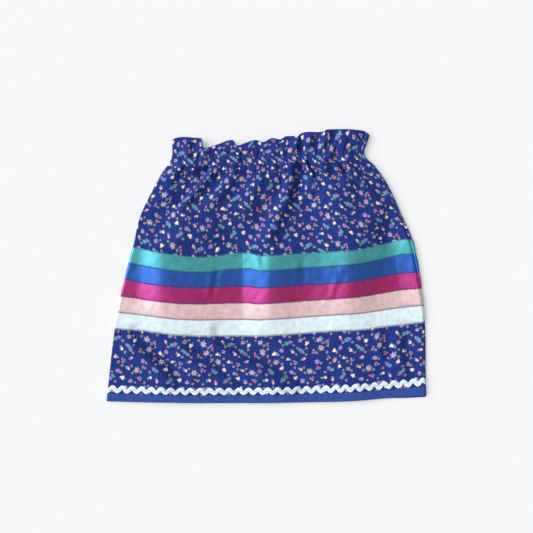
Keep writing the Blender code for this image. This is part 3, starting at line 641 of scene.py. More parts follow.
def front_height(x, y, across, down):
    """Height of the front's outer surface over the table."""
    left, right, roll = edges(down)
    bed = back_bed(down)
    roll_top = bed + 2 * roll
    from_edge = np.maximum(np.minimum(x - left, right - x) - roll, 0.0)
    rise = 1 - bell(from_edge, HUMP_REACH)

    swell = curve(SWELLS, SWELL_COLUMNS, "x", "lift", x)
    strength = float(smooth_step(*SWELL_GROWS, down))
    strength *= 1 - (1 - SWELL_AT_HEM) * float(smooth_step(*SWELL_FADES, down))
    gathers = RUFFLE_GATHERS + (YOKE_GATHERS - RUFFLE_GATHERS) * float(smooth_step(*YOKE_FROM, down))
    depth = folds_depth(x, y) + gathers * gathers_depth(across, down)
    creases = bpy.context.scene.skirt_cloth.crease_strength
    depth += creases * (tucks_depth(across, down) - slopes_height(x, y))
    on_ribbons = float(smooth_step(RIBBONS_TOP - CALM_MARGIN, RIBBONS_TOP, down)
                       * smooth_step(RIBBONS_FOOT + CALM_MARGIN, RIBBONS_FOOT, down))
    bumps = sum(bump * undulation(x, y, length, seed) for bump, length, seed in BUMPS)
    depth -= (1 - RIBBONS_CALM * on_ribbons) * bumps
    height = roll_top + (outline("loft", down) - roll_top - depth + swell * strength) * rise

    turned_in = float(smooth_step(HEM - HEM_TURN[0], HEM - HEM_TURN[1], down))
    layers = LAYERS + (HEM_LAYERS - LAYERS) * turned_in
    lowest = (bed + back_gathers_depth(across, down) + layers) * rise + roll_top * (1 - rise)
    soft = SETTLE * np.logaddexp(0.0, np.minimum((height - lowest) / SETTLE, RISE_MOST))
    return lowest + soft - SETTLE * math.log(2.0) * (1 - rise) + strength * seam_ridge(x, down)


def seam_ridge(x, down):
    """How far the front stands up beside its right seam."""
    _, right, roll = edges(down)
    from_seam = right - outline("seam_over", down) + roll * (math.pi / 2 - 1) - x
    climb = np.clip(1 - from_seam / SEAM_RIDGE_CLIMB, 0.0, 1.0)
    return SEAM_RIDGE * climb * smooth_step(0.0, SEAM_RIDGE_FALL, from_seam)


def hem_drop(across, down):
    """How much lower the back lies than the front near the right end of the hem."""
    share = float(smooth_step(RICKRACK_DOWN, HEM, down))
    return BACK_HEM_DROP * smooth_step(BACK_HEM_FROM, 1.0, across) * share


def across_at(x, down):
    """The shares of a course's width that lie left of points."""
    left, right, _ = edges(down)
    return np.clip((x - left) / (right - left), 0.0, 1.0)


def over_right_edge(reaches, down):
    """Points of the top that lie at given reaches up round the right roll and back across the skirt."""
    _, right, roll = edges(down)
    quarter = roll * math.pi / 2
    angles = np.minimum(reaches, quarter) / roll
    x = right - roll + roll * np.cos(angles) - np.maximum(reaches - quarter, 0.0)
    across = across_at(x, down)
    y = course_y(across, down)
    on_roll = reaches < quarter
    z = np.where(on_roll, back_bed(down) + roll * (1 + np.sin(angles)), front_height(x, y, across, down))
    return np.stack([x, y, z], axis=1)


def front_section(down):
    """One course of the front, from the left seam round the left edge and across to the right seam."""
    left, right, roll = edges(down)
    angles = np.radians(np.linspace(SEAM_ANGLE, *FRONT_LEFT_ROLL))
    x = left + roll * (1 + np.cos(angles))
    z = back_bed(down) + roll * (1 + np.sin(angles))
    rolled = np.stack([x, course_y(across_at(x, down), down), z], axis=1)
    widest = right - left - 2 * roll + roll * math.pi / 2
    last = outline("seam_over", down) + SEAM_GAP / 2
    reaches = np.concatenate([
        np.linspace(widest, NEAR_SEAM, FRONT_RUN)[:-1],
        np.linspace(NEAR_SEAM, last, EDGE_RUN),
    ])
    return np.concatenate([rolled, over_right_edge(reaches, down)])


def back_section(down):
    """One course of the back, from the left seam under the skirt and round the right edge to its seam."""
    left, right, roll = edges(down)
    start = np.radians(np.linspace(SEAM_ANGLE + math.degrees(SEAM_GAP / roll), *BACK_LEFT_ROLL))
    angles = np.radians(np.linspace(*BACK_RIGHT_ROLL))
    under = np.linspace(left + roll, right - roll, BACK_RUN)
    x = np.concatenate([left + roll + roll * np.cos(start), under, right - roll + roll * np.cos(angles)])
    across = across_at(x, down)
    y = course_y(across, down, BACK_RUFFLE_SHARE) - hem_drop(across, down)
    z = back_bed(down) + back_gathers_depth(across, down)
    z[:len(start)] = back_bed(down) + roll * (1 + np.sin(start))
    z[-len(angles):] = back_bed(down) + roll * (1 + np.sin(angles))
    last = outline("seam_over", down) - SEAM_GAP / 2
    over = over_right_edge(np.linspace(0.0, last, OVER_RUN), down)
    y[-len(angles):] += (over[0, 1] - y[-1]) * (1 + np.sin(angles))
    return np.concatenate([np.stack([x, y, z], axis=1), over])


def grid_normals(points, side):
    """Directions out of the cloth at each point of its grid: side is 1 on the front and -1 on the back."""
    normals = side * np.cross(np.gradient(points, axis=0), np.gradient(points, axis=1))
    return normals / np.linalg.norm(normals, axis=2, keepdims=True)


def skirt_rows():
    """Distances down the skirt of the panels' courses."""
    zones = [np.linspace(start, end, round((end - start) / step), endpoint=False)
             for start, end, step in ROW_ZONES]
    return np.concatenate([*zones, [PANEL_END]])


class Surface:
    """A panel's outer face as a fine grid of courses, with its outward directions and lengths along them."""

    def __init__(self, section, side):
        self.rows = skirt_rows()
        self.points = np.array([section(down) for down in self.rows])
        self.count = self.points.shape[1]
        self.side = side
        lengths = self.lengths_along()
        groove = SEAM_GROOVE * bell(lengths[:, -1:] - lengths, SEAM_GROOVE_WIDTH)
        self.points = self.points - grid_normals(self.points, side) * groove[:, :, None]
        self.normals = grid_normals(self.points, side)
        self.lengths = self.lengths_along()

    def lengths_along(self):
        """How far along its course each point lies, from the left seam."""
        steps = np.linalg.norm(np.diff(self.points, axis=1), axis=2)
        return np.concatenate([np.zeros((len(self.rows), 1)), np.cumsum(steps, axis=1)], axis=1)

    def at(self, downs, columns, outs=0.0):
        """Points on the cloth or a little way off it, given how far down and at which columns they lie."""
        row = np.clip(np.searchsorted(self.rows, downs, side="right") - 1, 0, len(self.rows) - 2)
        down_share = ((downs - self.rows[row]) / (self.rows[row + 1] - self.rows[row]))[..., None]
        left = np.clip(np.floor(columns).astype(int), 0, self.count - 2)
        share = (columns - left)[..., None]
        found = []
        for grid in (self.points, self.normals):
            upper = grid[row, left] * (1 - share) + grid[row, left + 1] * share
            lower = grid[row + 1, left] * (1 - share) + grid[row + 1, left + 1] * share
            found.append(upper * (1 - down_share) + lower * down_share)
        return found[0] + found[1] * np.broadcast_to(outs, downs.shape)[..., None]

    def row_at(self, down):
        """The first course at or below a distance down."""
        return np.clip(np.searchsorted(self.rows, down), 0, len(self.rows) - 1)

    def columns_at(self, row, lengths):
        """The columns that lie at given lengths along a course."""
        return np.interp(lengths, self.lengths[row], np.arange(self.count))

    def course_length(self, down):
        """The length of the course at a distance down, from seam to seam."""
        return float(self.lengths[self.row_at(down), -1])


def surface(side):
    """The front's or the back's surface, worked out once."""
    if side not in _made:
        section, facing = {"front": (front_section, 1), "back": (back_section, -1)}[side]
        _made[side] = Surface(section, facing)
    return _made[side]


# ---------------------------------------------------------------- meshes

def add_mesh(name, points, faces, material, places=None, sharp=50):
    """An object from points in millimetres, with the cloth's own places in metres as its UV map."""
    mesh = bpy.data.meshes.new(name)
    mesh.from_pydata((np.asarray(points) * METRES).tolist(), [], faces)
    if places is not None:
        corners = np.zeros(len(mesh.loops), dtype=np.int32)
        mesh.loops.foreach_get("vertex_index", corners)
        layer = mesh.uv_layers.new(name="cloth")
        layer.data.foreach_set("uv", (np.asarray(places)[corners] * METRES).astype(np.float32).ravel())
    mesh.materials.append(material)
    mesh.shade_smooth()
    mesh.set_sharp_from_angle(angle=math.radians(sharp))
    piece = bpy.data.objects.new(name, mesh)
    bpy.context.scene.collection.objects.link(piece)
    return piece


def cloth_shell(name, outer, inner, side, places, material):
    """Closed thin cloth from the grids of its outer and inner face."""
    rows, columns = outer.shape[:2]
    ids = np.arange(rows * columns).reshape(rows, columns)
    quads = np.stack([ids[:-1, :-1], ids[1:, :-1], ids[1:, 1:], ids[:-1, 1:]], axis=-1).reshape(-1, 4)
    if side < 0:
        quads = quads[:, ::-1]
    within = quads[:, ::-1] + rows * columns
    border = np.concatenate([ids[0, :], ids[1:, -1], ids[-1, -2::-1], ids[-2:0:-1, 0]])
    after = np.roll(border, -1)
    rim = np.stack([border, after, after + rows * columns, border + rows * columns], axis=-1)
    if side < 0:
        rim = rim[:, ::-1]
    faces = np.concatenate([quads, within, rim]).tolist()
    points = np.concatenate([outer.reshape(-1, 3), inner.reshape(-1, 3)])
    both = np.concatenate([places.reshape(-1, 2), places.reshape(-1, 2)])
    return add_mesh(name, points, faces, material, both)


def deselect_all():
    """Leaves nothing selected, so that an operator acts on the new piece alone."""
    for thing in bpy.context.selected_objects:
        thing.select_set(False)


# ---------------------------------------------------------------- materials

class Nodes:
    """A node tree with short calls that add a node and give its output."""

    def __init__(self, tree):
        self.tree = tree

    def add(self, kind, feeds=None, **settings):
        node = self.tree.nodes.new(kind)
        for name, value in settings.items():
            setattr(node, name, value)
        for key, value in (feeds or {}).items():
            self.feed(node.inputs[key], value)
        return node

    def feed(self, socket, value):
        if isinstance(value, bpy.types.NodeSocket):
            self.tree.links.new(value, socket)
        else:
            socket.default_value = value

    def math(self, operation, *values, clamp=False):
        node = self.add("ShaderNodeMath", dict(enumerate(values)), operation=operation, use_clamp=clamp)
        return node.outputs[0]

    def plus(self, *values, clamp=False):
        return self.math("ADD", *values, clamp=clamp)

    def minus(self, *values):
        return self.math("SUBTRACT", *values)

    def times(self, *values):
        return self.math("MULTIPLY", *values)

    def line(self, value, slope, start, clamp=False):
        return self.math("MULTIPLY_ADD", value, slope, start, clamp=clamp)

    def wave(self, value, turns):
        return self.math("SINE", self.times(value, math.tau * turns))

    def vector(self, operation, *values):
        node = self.add("ShaderNodeVectorMath", dict(enumerate(values)), operation=operation)
        return node.outputs["Value"] if operation == "LENGTH" else node.outputs[0]

    def split(self, vector):
        return self.add("ShaderNodeSeparateXYZ", {0: vector}).outputs

    def join(self, x, y, z=0.0):
        return self.add("ShaderNodeCombineXYZ", {0: x, 1: y, 2: z}).outputs[0]

    def mix(self, share, first, second):
        node = self.add("ShaderNodeMix", {0: share, 6: first, 7: second}, data_type="RGBA")
        return node.outputs[2]

    def noise(self, vector, scale, detail=2.0, dimensions="2D"):
        feeds = {"Vector": vector, "Scale": scale, "Detail": detail}
        return self.add("ShaderNodeTexNoise", feeds, noise_dimensions=dimensions).outputs

    def choose(self, place, rows):
        """The row of up to four numbers from 0 to 1 that a place from 0 to 1 falls in."""
        node = self.add("ShaderNodeValToRGB", {0: place})
        ramp = node.color_ramp
        ramp.interpolation = "CONSTANT"
        while len(ramp.elements) < len(rows):
            ramp.elements.new(1.0)
        for index, row in enumerate(rows):
            ramp.elements[index].position = index / len(rows)
        for index, row in enumerate(rows):
            padded = tuple(row) + (0.0,) * (3 - len(row)) + (1.0,) * (len(row) < 4)
            ramp.elements[index].color = padded[:4]
        parts = self.add("ShaderNodeSeparateColor", {0: node.outputs["Color"]}).outputs
        return node.outputs["Color"], parts[0], parts[1], parts[2], node.outputs["Alpha"]

    def group(self, tree, feeds):
        node = self.add("ShaderNodeGroup", None)
        node.node_tree = tree
        for key, value in feeds.items():
            self.feed(node.inputs[key], value)
        return node.outputs


def new_group(name, inputs, outputs):
    """An empty node group with its sockets, and its graph, its inputs and its end node."""
    tree = bpy.data.node_groups.new(name, "ShaderNodeTree")
    for socket, kind, value in inputs:
        made = tree.interface.new_socket(socket, in_out="INPUT", socket_type=kind)
        if value is not None:
            made.default_value = value
    for socket, kind in outputs:
        tree.interface.new_socket(socket, in_out="OUTPUT", socket_type=kind)
    graph = Nodes(tree)
    start = graph.add("NodeGroupInput").outputs
    end = graph.add("NodeGroupOutput").inputs
    return tree, graph, start, end


# The print's colours
INKS = {
    "leaf": (0.09, 0.46, 0.38),
    "rose": (0.70, 0.30, 0.48),
    "deep rose": (0.55, 0.12, 0.28),
    "violet": (0.22, 0.15, 0.52),
    "plum": (0.30, 0.08, 0.26),
    "cherry": (0.80, 0.17, 0.30),
    "blush": (0.96, 0.78, 0.80),
    "cream": (0.95, 0.75, 0.49),
    "peach": (0.74, 0.36, 0.36),
    "lilac": (0.46, 0.38, 0.72),
}

LEAF_MIDDLE = (0.03, 0.22, 0.16, 1.0)
LEAF_LIGHT = (0.26, 0.80, 0.70, 1.0)
BODY_LIGHT = (0.90, 0.80, 0.86, 1.0)
BODY_RIM = (0.10, 0.04, 0.22, 1.0)

# Each motif of the print in its own frame: a leaf, a body and an accent, each with its place, its radius,
# its lobes, how deeply they are cut, and its ink
MOTIF_COLUMNS = (
    "name",
    "leaf_x", "leaf_y", "leaf_radius", "leaf_lobes", "leaf_cut",
    "body_x", "body_y", "body_radius", "body_lobes", "body_cut", "body_ink",
    "accent_x", "accent_y", "accent_radius", "accent_ink",
)
MOTIFS = (
    ("rosette", 0.0, 0.0, 4.7, 6, 0.82, 0.0, 0.0, 3.4, 5, 0.30, "rose", 0.6, 0.5, 0.9, "deep rose"),
    ("daisy", 0.0, 0.0, 0.0, 1, 0.0, 0.0, 0.0, 3.2, 6, 0.50, "lilac", 0.0, 0.0, 1.1, "plum"),
    ("cherries", 0.6, 2.0, 1.7, 2, 0.74, -1.7, -0.9, 1.3, 1, 0.0, "cherry", 1.8, -0.6, 1.3, "cherry"),
    ("strawberry", 2.3, 0.0, 2.1, 3, 0.64, -0.4, 0.0, 2.3, 1, 0.24, "cherry", -1.5, 0.1, 1.05, "blush"),
    ("pear", -2.9, 0.5, 1.2, 2, 0.72, 0.0, 0.0, 3.0, 3, 0.42, "cream", 0.7, 0.5, 1.3, "blush"),
    ("peach", -2.8, 0.2, 1.8, 3, 0.40, 0.6, 0.0, 2.4, 1, 0.24, "peach", 1.0, -0.6, 1.3, "blush"),
    ("bud", 2.5, 1.3, 1.9, 3, 0.45, -0.6, -0.3, 2.6, 3, 0.36, "peach", -0.5, -0.7, 1.4, "blush"),
    ("grapes", 3.4, -0.8, 3.2, 5, 0.62, -1.0, 0.3, 3.5, 6, 0.52, "violet", -3.9, 1.5, 1.0, "leaf"),
)

# The repeat, six places by five: each place's motif, how far it is moved from the middle of its place as a
# share of it, and its turn
REPEAT_ALONG = 6
REPEAT_UP = 5
CELL = 13.2
CELL_SHIFT = 0.4       # how far each row of places is set over, as a share of a place
CHART_COLUMNS = ("motif", "over", "up", "turn")
CHART = (
    ("rosette", 0.04, -0.10, 10), ("cherries", -0.16, 0.14, 140), ("grapes", 0.02, 0.02, -20),
    ("pear", 0.12, 0.18, 75), ("daisy", 0.14, -0.20, 0), ("strawberry", 0.10, 0.12, 150),
    ("strawberry", -0.16, 0.12, 200), ("daisy", 0.06, -0.20, 25), ("cherries", 0.18, 0.14, 30),
    ("rosette", -0.04, -0.06, 50), ("bud", 0.08, 0.12, -35), ("cherries", -0.12, -0.16, 285),
    ("grapes", 0.02, 0.04, 160), ("cherries", 0.18, -0.18, 250), ("rosette", -0.08, 0.10, 80),
    ("pear", 0.16, -0.14, 205), ("daisy", -0.18, 0.16, 12), ("bud", 0.06, -0.08, 100),
    ("daisy", 0.16, 0.20, 40), ("pear", -0.16, -0.14, 250), ("rosette", 0.02, 0.06, 20),
    ("cherries", -0.18, -0.20, 95), ("strawberry", 0.14, 0.16, 300), ("grapes", 0.02, -0.02, 215),
    ("cherries", -0.12, 0.10, 320), ("peach", 0.08, 0.16, 15), ("strawberry", -0.14, -0.16, 110),
    ("grapes", 0.04, 0.02, 60), ("pear", 0.16, 0.14, 165), ("daisy", -0.06, -0.20, 33),
)

# How often the print's places waver in a millimetre, and how far
WAVERS = ((0.55, 1.9), (0.03, 7.0))

# The dots between the motifs: one spot over and up from the middle of their place, in places, and the other
# opposite to it, how far they scatter about it, the share left out, and their least radius and what is added
DOT_SPOT = (0.29, 0.12)
DOT_SCATTER = (1.8, 2.6)
DOTS_LEFT_OUT = 0.14
DOT_RADIUS = (1.5, 0.35)
DOT_LOBES = (5.0, 0.12)

# How soft the edges of the inks are
INK_EDGE = 0.35
ACCENT_EDGE = 0.6

# A motif's values are kept as shares of these spans
PLACE_SPAN = 12.0
RADIUS_SPAN = 8.0
LOBES_SPAN = 10.0
SHIFT_SPAN = 0.5


def motif_rows(*names):
    """Each motif's values of some columns, kept between 0 and 1 as a colour ramp needs them."""
    spans = {"x": (PLACE_SPAN, 0.5), "y": (PLACE_SPAN, 0.5), "radius": (RADIUS_SPAN, 0.0),
             "lobes": (LOBES_SPAN, 0.0), "cut": (1.0, 0.0)}
    rows = []
    for motif in MOTIFS:
        row = []
        for name in names:
            span, middle = spans[name.split("_")[1]]
            row.append(motif[MOTIF_COLUMNS.index(name)] / span + middle)
        rows.append(tuple(row))
    return rows


def ink_rows(name):
    """Each motif's ink of one of its parts."""
    return [INKS[motif[MOTIF_COLUMNS.index(name)]] for motif in MOTIFS]


def centred(graph, value, span):
    """A value kept between 0 and 1, back in its own span about zero."""
    return graph.times(graph.minus(value, 0.5), span)


def lobed_shape(graph, place, x, y, radius, lobes, cut, softness):
    """Where a lobed shape's ink lies, and how far from its middle each point is as a share of its radius."""
    px, py, _ = graph.split(place)
    dx, dy = graph.minus(px, x), graph.minus(py, y)
    distance = graph.vector("LENGTH", graph.join(dx, dy))
    wave = graph.math("COSINE", graph.times(graph.math("ARCTAN2", dy, dx), lobes))
    notch = graph.times(graph.minus(0.5, graph.times(wave, 0.5)), cut)
    limit = graph.times(radius, graph.minus(1.0, notch))
    inside = graph.math("DIVIDE", graph.minus(limit, distance), softness)
    share = graph.math("DIVIDE", distance, graph.math("MAXIMUM", radius, 0.1))
    return graph.plus(inside, 0.5, clamp=True), share


def fruit_print_group():
    """A small scattered print of flowers and fruit, with dots between them, on a plain ground."""
    sockets = [("Place", "NodeSocketVector", None), ("Ground", "NodeSocketColor", None),
               ("Dot", "NodeSocketColor", None), ("Dot Middle", "NodeSocketColor", None)]
    tree, graph, start, end = new_group("fruit and flower print", sockets, [("Color", "NodeSocketColor")])
    place = graph.vector("MULTIPLY", start["Place"], (1 / METRES, 1 / METRES, 0.0))
    for frequency, reach in WAVERS:
        waver = graph.vector("SUBTRACT", graph.noise(place, frequency, 1.0)["Color"], (0.5, 0.5, 0.5))
        place = graph.vector("ADD", place, graph.vector("MULTIPLY", waver, (reach, reach, 0.0)))

    def cell_of(place):
        """A place's cell in the repeat, along and up, and the place inside its cell in millimetres."""
        x, y, _ = graph.split(graph.vector("DIVIDE", place, (CELL, CELL, 1.0)))
        up = graph.math("FLOOR", y)
        x = graph.plus(x, graph.times(up, CELL_SHIFT))
        along = graph.math("FLOOR", x)
        inside = [centred(graph, graph.minus(whole, start), CELL) for whole, start in ((x, along), (y, up))]
        i = graph.math("FLOORED_MODULO", along, REPEAT_ALONG)
        j = graph.math("FLOORED_MODULO", up, REPEAT_UP)
        return i, j, graph.join(*inside)

    names = [motif[0] for motif in MOTIFS]
    i, j, inside = cell_of(place)
    cell = graph.math("DIVIDE", graph.plus(graph.line(j, REPEAT_ALONG, i), 0.5), REPEAT_ALONG * REPEAT_UP)
    kinds = []
    for row in CHART:
        chart = dict(zip(CHART_COLUMNS, row))
        kinds.append(((names.index(chart["motif"]) + 0.5) / len(names), chart["over"] / SHIFT_SPAN + 0.5,
                      chart["up"] / SHIFT_SPAN + 0.5, (chart["turn"] % 360) / 360))
    _, kind, over, up, turn = graph.choose(cell, kinds)
    moved = graph.join(centred(graph, over, SHIFT_SPAN * CELL), centred(graph, up, SHIFT_SPAN * CELL))
    feeds = {"Vector": graph.vector("SUBTRACT", inside, moved), "Angle": graph.times(turn, -math.tau)}
    turned = graph.add("ShaderNodeVectorRotate", feeds, rotation_type="Z_AXIS").outputs[0]

    def part(name, softness):
        """One part of the motif in this cell."""
        _, x, y, radius, _ = graph.choose(kind, motif_rows(f"{name}_x", f"{name}_y", f"{name}_radius"))
        lobes, cut = 1.0, 0.0
        if name != "accent":
            _, lobes, cut, _, _ = graph.choose(kind, motif_rows(f"{name}_lobes", f"{name}_cut"))
            lobes = graph.math("ROUND", graph.times(lobes, LOBES_SPAN))
        x, y = centred(graph, x, PLACE_SPAN), centred(graph, y, PLACE_SPAN)
        return lobed_shape(graph, turned, x, y, graph.times(radius, RADIUS_SPAN), lobes, cut, softness)

    # Dots between the motifs, at one of a place's two spots that are farthest from the motifs round it
    half_step = graph.vector("ADD", place, (-0.5 * CELL_SHIFT * CELL, 0.5 * CELL, 0.0))
    dot_i, dot_j, dot_inside = cell_of(half_step)
    chance = graph.add("ShaderNodeTexWhiteNoise", {"Vector": graph.join(dot_i, dot_j)}, noise_dimensions="2D")
    drawn_x, drawn_y, _ = graph.split(chance.outputs["Color"])
    side = graph.line(graph.math("GREATER_THAN", drawn_x, 0.5), 2.0, -1.0)
    spot = [graph.line(centred(graph, drawn, 1.0), scatter, graph.times(side, share * CELL))
            for drawn, scatter, share in zip((drawn_y, drawn_x), DOT_SCATTER, DOT_SPOT)]
    dot_place = graph.vector("SUBTRACT", dot_inside, graph.join(*spot))
    is_there = graph.math("GREATER_THAN", chance.outputs["Value"], DOTS_LEFT_OUT)
    least, added = DOT_RADIUS
    dot_size = graph.times(is_there, graph.line(chance.outputs["Value"], added, least))
    dot, dot_share = lobed_shape(graph, dot_place, 0.0, 0.0, dot_size, *DOT_LOBES, INK_EDGE)
    dot_middle = graph.line(dot_share, -2.4, 1.5, clamp=True)
    mottle = graph.line(graph.noise(place, 0.75, 3.0)[0], 3.2, -0.58)
    ground = tinted(graph, start["Ground"], mottle)
    colour = graph.mix(dot, ground, graph.mix(dot_middle, start["Dot"], start["Dot Middle"]))

    # The motif, leaf first
    specks = graph.noise(place, 0.65)[0]
    leaf, leaf_share = part("leaf", INK_EDGE)
    leaf_middle = graph.line(leaf_share, -2.2, 1.2, clamp=True)
    green = graph.mix(leaf_middle, (*INKS["leaf"], 1.0), LEAF_MIDDLE)
    green = graph.mix(graph.line(specks, 2.6, -1.15, clamp=True), green, LEAF_LIGHT)
    colour = graph.mix(leaf, colour, green)
    body, body_share = part("body", INK_EDGE)
    ink = graph.choose(kind, ink_rows("body_ink"))[0]
    pale = graph.line(specks, 3.2, -1.5, clamp=True)
    ink = graph.mix(graph.times(pale, 0.42), ink, BODY_LIGHT)
    rim = graph.line(body_share, 1.6, -1.0, clamp=True)
    ink = graph.mix(graph.times(rim, 0.30), ink, BODY_RIM)
    colour = graph.mix(body, colour, ink)
    accent, _ = part("accent", ACCENT_EDGE)
    colour = graph.mix(accent, colour, graph.choose(kind, ink_rows("accent_ink"))[0])
    graph.feed(end["Color"], colour)
    return tree


WOVEN_EDGE = 0.0012        # width of a satin ribbon's denser edge
BRAID_LINE = 0.0006        # half width of the bluish middle of the rickrack
RELIEF = {"cotton": 0.00005, "satin": 0.000008, "thread": 0.00003}


def weave_group():
    """Plain weave: the height of crossing threads and how much light their hollows lose."""
    sockets = [("Place", "NodeSocketVector", None), ("Threads", "NodeSocketFloat", 2600.0)]
    outputs = [("Height", "NodeSocketFloat"), ("Shade", "NodeSocketFloat")]
    tree, graph, start, end = new_group("plain weave", sockets, outputs)
    uneven_height = graph.noise(start["Place"], 900.0)[0]
    x, y, _ = graph.split(start["Place"])
    turn = graph.times(start["Threads"], math.pi)
    cross = graph.times(*(graph.math("SINE", graph.times(axis, turn)) for axis in (x, y)))
    graph.feed(end["Height"], graph.plus(graph.times(cross, 0.5), graph.times(uneven_height, 0.8)))
    slub = graph.noise(graph.vector("MULTIPLY", start["Place"], (1.0, 0.16, 1.0)), 420.0)[0]
    graph.feed(end["Shade"], graph.line(slub, 0.28, 0.86))
    return tree


def satin_group():
    """Satin ribbon: fine ribs along its length, slow streaks and clouds of sheen that are painted into its
    colour, and a denser woven edge.
    """
    sockets = [("Place", "NodeSocketVector", None), ("Width", "NodeSocketFloat", 0.022)]
    outputs = [("Height", "NodeSocketFloat"), ("Streak", "NodeSocketFloat"), ("Edge", "NodeSocketFloat")]
    tree, graph, start, end = new_group("satin face", sockets, outputs)
    streak = graph.noise(graph.vector("MULTIPLY", start["Place"], (0.03, 1.0, 1.0)), 800.0, 3.0)[0]
    cloud = graph.noise(start["Place"], 140.0)[0]
    _, y, _ = graph.split(start["Place"])
    graph.feed(end["Height"], graph.line(graph.wave(y, 2400.0), 0.35, streak))
    graph.feed(end["Streak"], graph.plus(graph.times(streak, 0.22), graph.times(cloud, 0.78)))
    middle = graph.times(start["Width"], 0.5)
    from_edge = graph.minus(middle, graph.math("ABSOLUTE", graph.minus(y, middle)))
    graph.feed(end["Edge"], graph.line(from_edge, -1.0 / WOVEN_EDGE, 1.0, clamp=True))
    return tree


def shared_group(name, make):
    """A node group, made when it is first asked for."""
    return bpy.data.node_groups.get(name) or make()


def new_finish(name):
    """A material, its graph, its shader and the cloth's own places."""
    material = bpy.data.materials.new(name)
    material.use_nodes = True
    graph = Nodes(material.node_tree)
    place = graph.add("ShaderNodeUVMap", uv_map="cloth").outputs[0]
    return material, graph, material.node_tree.nodes["Principled BSDF"], place


def set_constants(shader, **values):
    """Plain values on the shader's own sockets."""
    for name, value in values.items():
        shader.inputs[name.replace("_", " ").title().replace("Ior", "IOR")].default_value = value


def tinted(graph, colour, shade):
    """A colour made lighter or darker by a number that changes over the cloth."""
    return graph.vector("MULTIPLY", colour, graph.join(shade, shade, shade))


def set_cloth(graph, shader, colour, shade, height, depth, **values):
    """The cloth's colour and its shade, its fine relief with its depth in metres, and its plain values."""
    graph.feed(shader.inputs["Base Color"], tinted(graph, colour, shade))
    bump = graph.add("ShaderNodeBump", {"Height": height, "Strength": 1.0, "Distance": depth})
    graph.feed(shader.inputs["Normal"], bump.outputs[0])
    set_constants(shader, **values)


def print_finish():
    """Navy quilting cotton with the small print."""
    material, graph, shader, place = new_finish("printed cotton")
    colours = bpy.context.scene.skirt_colours
    weave = graph.group(shared_group("plain weave", weave_group), {"Place": place})
    printed = graph.group(shared_group("fruit and flower print", fruit_print_group), {
        "Place": place,
        "Ground": (*colours.ground, 1.0),
        "Dot": (*colours.dots, 1.0),
        "Dot Middle": (0.21, 0.16, 0.11, 1.0),
    })
    set_cloth(graph, shader, printed["Color"], weave["Shade"], weave["Height"], RELIEF["cotton"],
              roughness=0.85, specular_ior_level=0.2, sheen_weight=0.10, sheen_roughness=0.5,
              sheen_tint=(0.5, 0.6, 1.0, 1.0))
    return material


def plain_cotton_finish(name, colour):
    """Plain woven cotton."""
    material, graph, shader, place = new_finish(name)
    weave = graph.group(shared_group("plain weave", weave_group), {"Place": place})
    fleck = graph.line(graph.noise(place, 700.0, 3.0)[0], 2.6, -0.3)
    shade = graph.times(weave["Shade"], fleck)
    set_cloth(graph, shader, (*colour,), shade, weave["Height"], RELIEF["cotton"],
              roughness=0.80, specular_ior_level=0.35, sheen_weight=0.12, sheen_roughness=0.5)
    return material


def satin_finish(name, colour, gloss, width):
    """Satin ribbon whose sheen takes the ribbon's colour and stretches across its length."""
    material, graph, shader, place = new_finish(f"{name} satin")
    face = graph.group(shared_group("satin face", satin_group), {"Place": place, "Width": width * METRES})
    # the streaks and clouds lighten and darken the satin's colour: painted sheen. They also vary its
    # roughness
    shade = graph.minus(graph.line(face["Streak"], 0.55, 0.725), graph.times(face["Edge"], 0.12))
    graph.feed(shader.inputs["Roughness"], graph.line(face["Streak"], 0.10, 0.45))
    tangent = graph.add("ShaderNodeTangent", direction_type="UV_MAP", uv_map="cloth")
    graph.feed(shader.inputs["Tangent"], tangent.outputs[0])
    shine, tint = SHINES[name]
    set_cloth(graph, shader, (*colour,), shade, face["Height"], RELIEF["satin"],
              metallic=gloss, ior=2.8, specular_ior_level=shine, specular_tint=(*tint, 1.0),
              anisotropic=0.76, anisotropic_rotation=0.25)
    return material


def braid_finish():
    """Flat woven braid with slanting ribs and a bluish middle."""
    material, graph, shader, place = new_finish("rickrack braid")
    x, y, _ = graph.split(place)
    off_middle = graph.math("ABSOLUTE", y)
    ribs = graph.wave(graph.plus(x, off_middle), 900.0)
    middle = graph.times(graph.line(off_middle, -1.0 / BRAID_LINE, 1.3, clamp=True), 0.55)
    colour = graph.mix(middle, (*bpy.context.scene.skirt_colours.rickrack, 1.0), (0.42, 0.58, 0.74, 1.0))
    # the colour follows the ribs and is darker in their hollows: painted shade
    set_cloth(graph, shader, colour, graph.line(ribs, 0.05, 0.97), ribs, RELIEF["thread"],
              roughness=0.62, specular_ior_level=0.4, sheen_weight=0.1)
    return material


def thread_finish(name, colour, roughness=0.5):
    """Sewing thread with its twist."""
    material, graph, shader, place = new_finish(f"{name} thread")
    x, y, _ = graph.split(place)
    twist = graph.wave(graph.plus(x, y), 1500.0)
    # the colour follows the twist and is darker in its grooves: painted shade
    set_cloth(graph, shader, (*colour,), graph.line(twist, 0.10, 0.92), twist, RELIEF["thread"],
              roughness=roughness, specular_ior_level=0.5)
    return material


def floor_finish():
    """A pale, matt table top that gives off part of its own light, so that shadows on it stay faint."""
    material = bpy.data.materials.new("pale table")
    material.use_nodes = True
    graph = Nodes(material.node_tree)
    shader = material.node_tree.nodes["Principled BSDF"]
    speck = graph.noise(graph.add("ShaderNodeTexCoord").outputs["Object"], 60.0, 3.0, "3D")[0]
    colour = tinted(graph, (0.528, 0.530, 0.531), graph.line(speck, 0.02, 0.99))
    graph.feed(shader.inputs["Base Color"], colour)
    set_constants(shader, roughness=0.9, specular_ior_level=0.1, emission_strength=0.40,
                  emission_color=(0.922, 0.930, 0.947, 1.0))
    return material


# ---------------------------------------------------------------- the pieces

def dress(piece, *nodes, slot):
    """The piece rides with the skirt and stands for its solid, whose parts are hidden. The slot is not used.
    """
    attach(piece, BODY)
    if nodes:
        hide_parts(*nodes)
    return piece


